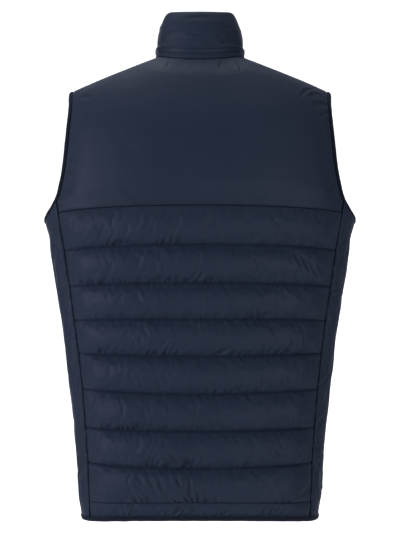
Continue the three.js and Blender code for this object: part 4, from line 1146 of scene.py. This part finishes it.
collarReach = (180 - 2 * zipTurn) * collarCloth["degree"]
collarTurns = lerp(zipTurn, 180 - zipTurn, placesAcross(collarReach, collarCloth["columnStep"]))
collarParts = placesAcross(collarCloth["tall"], collarCloth["rowStep"], (0.4, 1.0, 1.8))
foot, rise, normal, tall = collarFrame(collarTurns)
high = collarParts[:, None] * (tall - seamGap)[None] + seamGap
turns = np.broadcast_to(collarTurns[None], high.shape)
p = foot[None] + rise[None] * high[..., None]
lean = mitre(outward(foot), normal)[None]
n = lerp(normal[None], lean, (1 - ease(high / 8))[..., None])
wall = collarWall(turns, high, np.broadcast_to(tall[None], high.shape), collarCloth)
fromZip = np.minimum(turns - zipTurn, 180 - zipTurn - turns) * collarCloth["degree"]
wall = rollEdge(wall, fromZip, edgeRoll)
outer = p + n * wall[..., None]
addPadded("collar_cloth", "collar", outer, p, 3)
for height in collarCloth["sewnLines"]:
    i = int(np.argmin(np.abs(high[:, 0] - height)))
    stitchAlong("quilting", outer[i], n[i], 0.2)
print("vest: collar made")

# Bindings of knitted elastic, folded over the edge. The cut is the flat width in metres.
bindings = {
    "armhole": {"wide": 7.2, "inside": -0.7, "outside": 3.9, "step": 1.5, "cut": 0.014, "on": "back_yoke"},
    "hem": {
        "wide": 6.4, "inside": -0.8, "outside": 4, "step": 1.7, "cut": 0.0135, "on": "back_quilted",
        "halfPlaces": 120, "sidePlaces": 60,
    },
}
knit = {"rib": 2.6, "ribDeep": 0.05, "uneven": 0.08, "unevenWide": 0.05, "sewnIn": 1.6}
# across and up, as shares of the binding's width and height
bindingOutline = [
    (0, 0.1), (0, 0.5), (0, 0.88), (0.13, 0.98), (0.3, 1), (0.5, 0.97),
    (0.75, 0.88), (0.92, 0.7), (1, 0.45), (0.93, 0.2), (0.7, 0), (0.35, 0.02),
]


def bindingSection(look, run, seed):
    outline = np.array(bindingOutline)
    across = seamGap + look["wide"] * outline[:, 0]
    wander = 2 * clothNoise(run / 9, run * 0, seed)
    ribs = 1 + knit["ribDeep"] * np.sin(run * 2 * math.pi / knit["rib"] + wander)
    ribs = ribs + knit["uneven"] * clothNoise(run / 11, run * 0 + 0.5, seed + 1)
    deep = lerp(look["inside"], look["outside"], outline[None, :, 1])
    deep = np.where(outline[None, :, 1] > 0.3, deep * ribs[:, None], deep)
    spread = 1 + knit["unevenWide"] * clothNoise(run / 14, run * 0 + 0.5, seed + 2)
    return np.stack([across[None] * spread[:, None], deep], -1)


def addBinding(name, node, line, across, out, look, ring, seed, hand):
    run = runAlong(line)
    section = bindingSection(look, run, seed)
    flip = np.array([hand, 1, 1])
    piece = stripOf(name, line * flip, across * flip, out * flip, section, ring)
    piece.data.materials.append(bindingKnit)
    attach(piece, "garment")
    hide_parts(node)
    edgeLine = (line + across * (seamGap + knit["sewnIn"]) + out * look["outside"]) * flip
    stitchAlong("binding", edgeLine, out * flip, 0.05)


def ringTangent(line):
    return np.roll(line, -1, 0) - np.roll(line, 1, 0)


look = bindings["armhole"]
runs = np.linspace(0, armholeLength, int(armholeLength / look["step"]), endpoint=False)
line = armholePoint(runs)
line[0, 1] = 0
out = outward(line)
across = unit(np.cross(ringTangent(line), out))
middle = turnPoint(np.float64(0), np.float64(armholeCut["z"][1]))
middle[0] = shoulderForm["tipX"]
across = np.where(np.sum(across * (middle - line), -1, keepdims=True) < 0, -across, across)
for hand, side, seed in ((1, "left", 301), (-1, "right", 331)):
    addBinding("armhole_trim_" + side, "armhole_binding_" + side, line, across, out, look, True, seed, hand)

look = bindings["hem"]
hemRow = np.array([float(lineCount)])
halfPlaces, sidePlaces = np.linspace(0, 1, look["halfPlaces"]), np.linspace(0, 1, look["sidePlaces"])
frontHem, backHem = (quiltGrid(halfPlaces, hemRow, face)[0][0] for face in (-1, 1))
sideHem = sideGrid(sidePlaces, hemRow)[0][0]
leftHalf = np.concatenate([frontHem, sideHem[1:-1], backHem[::-1]])
rightHalf = (leftHalf * [-1, 1, 1])[::-1][1:]
hemLine = np.concatenate([leftHalf, rightHalf])
hemRun = runAlong(hemLine)
hemLine = readAlong(hemLine, hemRun, np.linspace(0, hemRun[-1], int(hemRun[-1] / look["step"])))
hemOut = outward(hemLine)
hemAcross = unit(np.cross(np.gradient(hemLine, axis=0), hemOut))
hemAcross = np.where(hemAcross[:, 2:] > 0, -hemAcross, hemAcross)
addBinding("hem_trim", "hem_binding", hemLine, hemAcross, hemOut, look, False, 361, 1)
print("vest: bindings made")

# Zip: tapes, moulded teeth; the box, slider and pull tab keep their packed form
zipPlan = {
    "bend": 26, "belowTop": 2, "tapeInner": 0.6, "tapeLow": 0.35, "tapeThick": 1.0, "tapeCut": 0.01,
    "tapePlaces": 330, "rib": 4.2, "ribDeep": 0.06,
    "pitch": 3.0, "boxLong": 9, "sliderPost": 4.6, "aboveBox": 1.6, "belowSlider": 1.2,
}
zipFoot = float(hemZ(zipHalf, -1)) - bindings["hem"]["wide"]
neckFoot, neckRise, _, neckTall = (v[0] for v in collarFrame(np.array([zipTurn])))


def zipLine():
    def onFront(z):
        return facePoint(np.full_like(z, zipHalf), z, -1) * [0, 1, 1]

    def onCollar(height):
        return (neckFoot + neckRise * np.asarray(height)[:, None]) * [0, 1, 1]

    bendFoot = neckFoot[2] - zipPlan["bend"]
    low = onFront(np.linspace(zipFoot, bendFoot, 200)[:-1])
    t = np.linspace(0, 1, 30)[:, None]
    a, b, c = onFront(np.array([bendFoot]))[0], onCollar([0])[0], onCollar([zipPlan["bend"]])[0]
    bend = (1 - t) ** 2 * a + 2 * t * (1 - t) * b + t * t * c
    high = onCollar(np.linspace(zipPlan["bend"], neckTall - zipPlan["belowTop"], 20)[1:])
    return np.concatenate([low, bend, high])


zipCentre = zipLine()
zipRun = runAlong(zipCentre)


def zipPlace(run):
    along = unit(readAlong(zipCentre, zipRun, run + 1.5) - readAlong(zipCentre, zipRun, run - 1.5))
    return readAlong(zipCentre, zipRun, run), along, places(0, -along[:, 2], along[:, 1])


tapeRuns = np.linspace(0, zipRun[-1], zipPlan["tapePlaces"])
spot, along, out = zipPlace(tapeRuns)
tapeEdge = zipHalf - seamGap
for hand, side in ((1, "left"), (-1, "right")):
    inner, low, thick = (zipPlan[name] for name in ("tapeInner", "tapeLow", "tapeThick"))
    ribs = zipPlan["ribDeep"] * np.sin(tapeRuns * 2 * math.pi / zipPlan["rib"])
    corners = [
        (inner, low), (inner, low + thick), (lerp(inner, tapeEdge, 0.5), low + thick),
        (tapeEdge - 0.5, low + thick), (tapeEdge, low + thick * 0.6), (tapeEdge, low),
    ]
    section = [np.stack([np.full_like(tapeRuns, x), y + ribs * (y > low)], -1) for x, y in corners]
    across = np.tile([float(hand), 0.0, 0.0], (len(tapeRuns), 1))
    tape = stripOf("tape_cloth_" + side, spot, across, out, np.stack(section, 1), False)
    tape.data.materials.append(zipTapeCloth)
    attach(tape, "garment")
    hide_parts("zip_tape_" + side)

firstTooth = zipPlan["boxLong"] + zipPlan["aboveBox"]
lastTooth = zipRun[-1] - zipPlan["sliderPost"] - zipPlan["belowSlider"]
teethRuns = np.arange(firstTooth, lastTooth, zipPlan["pitch"] / 2)
spot, along, out = zipPlace(teethRuns)
hands = np.where(np.arange(len(teethRuns)) % 2 == 0, 1.0, -1.0)
# How a tooth runs from the tape past the centre line: across, half its length, lowest and highest
toothForm = [
    (2.75, 0.7, 0.1, 2.3), (2.5, 1.0, -0.5, 3.0), (0.9, 0.95, -0.6, 3.2), (0.2, 0.62, -0.5, 3.1),
    (-0.35, 0.66, -0.5, 3.1), (-0.85, 0.5, -0.2, 2.7), (-0.95, 0.28, 0.4, 2.1),
]
toothCorners, toothSquare = 8, 1.15
rings = []


def squared(v):
    return math.copysign(min(1, abs(v) * toothSquare), v)


for x, half, low, high in toothForm:
    middleOut, tallHalf = (low + high) / 2, (high - low) / 2
    ring = []
    for q in np.linspace(0, 2 * math.pi, toothCorners, endpoint=False) + math.pi / toothCorners:
        a, b = half * squared(math.cos(q)), tallHalf * squared(math.sin(q))
        ring.append(spot + along * a + out * (middleOut + b) + places(hands * x, 0, 0))
    rings.append(np.stack(ring, 1))
teeth = joinedLoops("zip_teeth", np.stack(rings, 1), smooth=False)
teeth.data.materials.append(mouldedTeeth)
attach(teeth, "garment")
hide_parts("zip_chain")

for node in ("zip_slider", "zip_pull", "zip_box"):
    metalPart = bpy.data.objects[node]
    for slot in metalPart.material_slots:
        slot.material = paintedZinc
print("vest: zip made")

# Thread, one piece for each kind of stitching
for kind, loops in stitching.items():
    sewn = joinedLoops("stitches_" + kind, np.concatenate(loops))
    sewn.data.materials.append(threadNavyAndSeamShade)
    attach(sewn, "garment")
print("vest: stitches made,", sum(len(loop) for loops in stitching.values() for loop in loops))

# Pale floor and backdrop, soft studio lights and the camera of the photo
studio = {
    "floor": -1.5, "backdrop": -3.2, "half": 4.5, "wide": 2.2, "tall": 2.2, "glow": 0.9, "room": 0.15,
    "pale": (0.92, 0.92, 0.92, 1), "rough": 0.95, "shine": 0.1, "lampsAimAt": (0, 0, -0.3),
}
# Where each soft light hangs, how wide it is, its power and its tint
lamps = {
    "key": ((2.4, 1.6, 0.0), 1.4, 36, (0.84, 0.88, 1.0)),
    "front": ((-1.7, 2.6, -0.45), 1.5, 21, (0.88, 0.95, 1.0)),
    "top": ((0.2, -0.1, 1.6), 1.6, 11, (0.86, 0.92, 1.0)),
    "behind": ((0.5, -2.4, 0.3), 1.8, 16, (0.95, 0.97, 1.0)),
}


def paleMaterial(name, glow):
    material = bpy.data.materials.new(name)
    material.use_nodes = True
    shader = material.node_tree.nodes["Principled BSDF"]
    shader.inputs["Base Color"].default_value = studio["pale"]
    shader.inputs["Roughness"].default_value = studio["rough"]
    shader.inputs["Specular IOR Level"].default_value = studio["shine"]
    shader.inputs["Emission Color"].default_value = (1, 1, 1, 1)
    shader.inputs["Emission Strength"].default_value = glow
    return material


def plainSheet(name, corners, glow):
    sheet = cleanMesh(name, np.array(corners) * 1000, [(0, 1, 2, 3)], False)
    sheet.data.materials.append(paleMaterial(name, glow))


half, low, far, wide, tall = (studio[name] for name in ("half", "floor", "backdrop", "wide", "tall"))
plainSheet("studio_floor", [(-half, far, low), (half, far, low), (half, half, low), (-half, half, low)], 0)
plainSheet("studio_backdrop", [(-wide, far, low), (wide, far, low), (wide, far, tall), (-wide, far, tall)],
           studio["glow"])


def softLight(name, place, size, power, tint):
    data = bpy.data.lights.new(name, "AREA")
    data.shape = "DISK"
    data.size = size
    data.energy = power
    data.color = tint
    light = bpy.data.objects.new(name, data)
    light.location = place
    aim = Vector(studio["lampsAimAt"]) - Vector(place)
    light.rotation_euler = aim.to_track_quat("-Z", "Y").to_euler()
    bpy.context.scene.collection.objects.link(light)


for name, (place, size, power, tint) in lamps.items():
    softLight(name, place, size, power, tint)
world = bpy.data.worlds.new("paleRoom")
bpy.context.scene.world = world
world.use_nodes = True
world.node_tree.nodes["Background"].inputs["Color"].default_value = (1, 1, 1, 1)
world.node_tree.nodes["Background"].inputs["Strength"].default_value = studio["room"]
bpy.context.scene.view_settings.view_transform = "Standard"

photoView = {"place": (0, 1.3, -0.422), "tilt": 95.35, "turn": 180, "lens": 56.65, "sensor": 36}
cameraData = bpy.data.cameras.new("photoCamera")
cameraData.lens = photoView["lens"]
cameraData.sensor_width = photoView["sensor"]
cameraData.sensor_fit = "AUTO"
camera = bpy.data.objects.new("photoCamera", cameraData)
camera.location = photoView["place"]
camera.rotation_euler = (math.radians(photoView["tilt"]), 0, math.radians(photoView["turn"]))
bpy.context.scene.collection.objects.link(camera)
bpy.context.scene.camera = camera
print("vest: studio, lights and camera made")
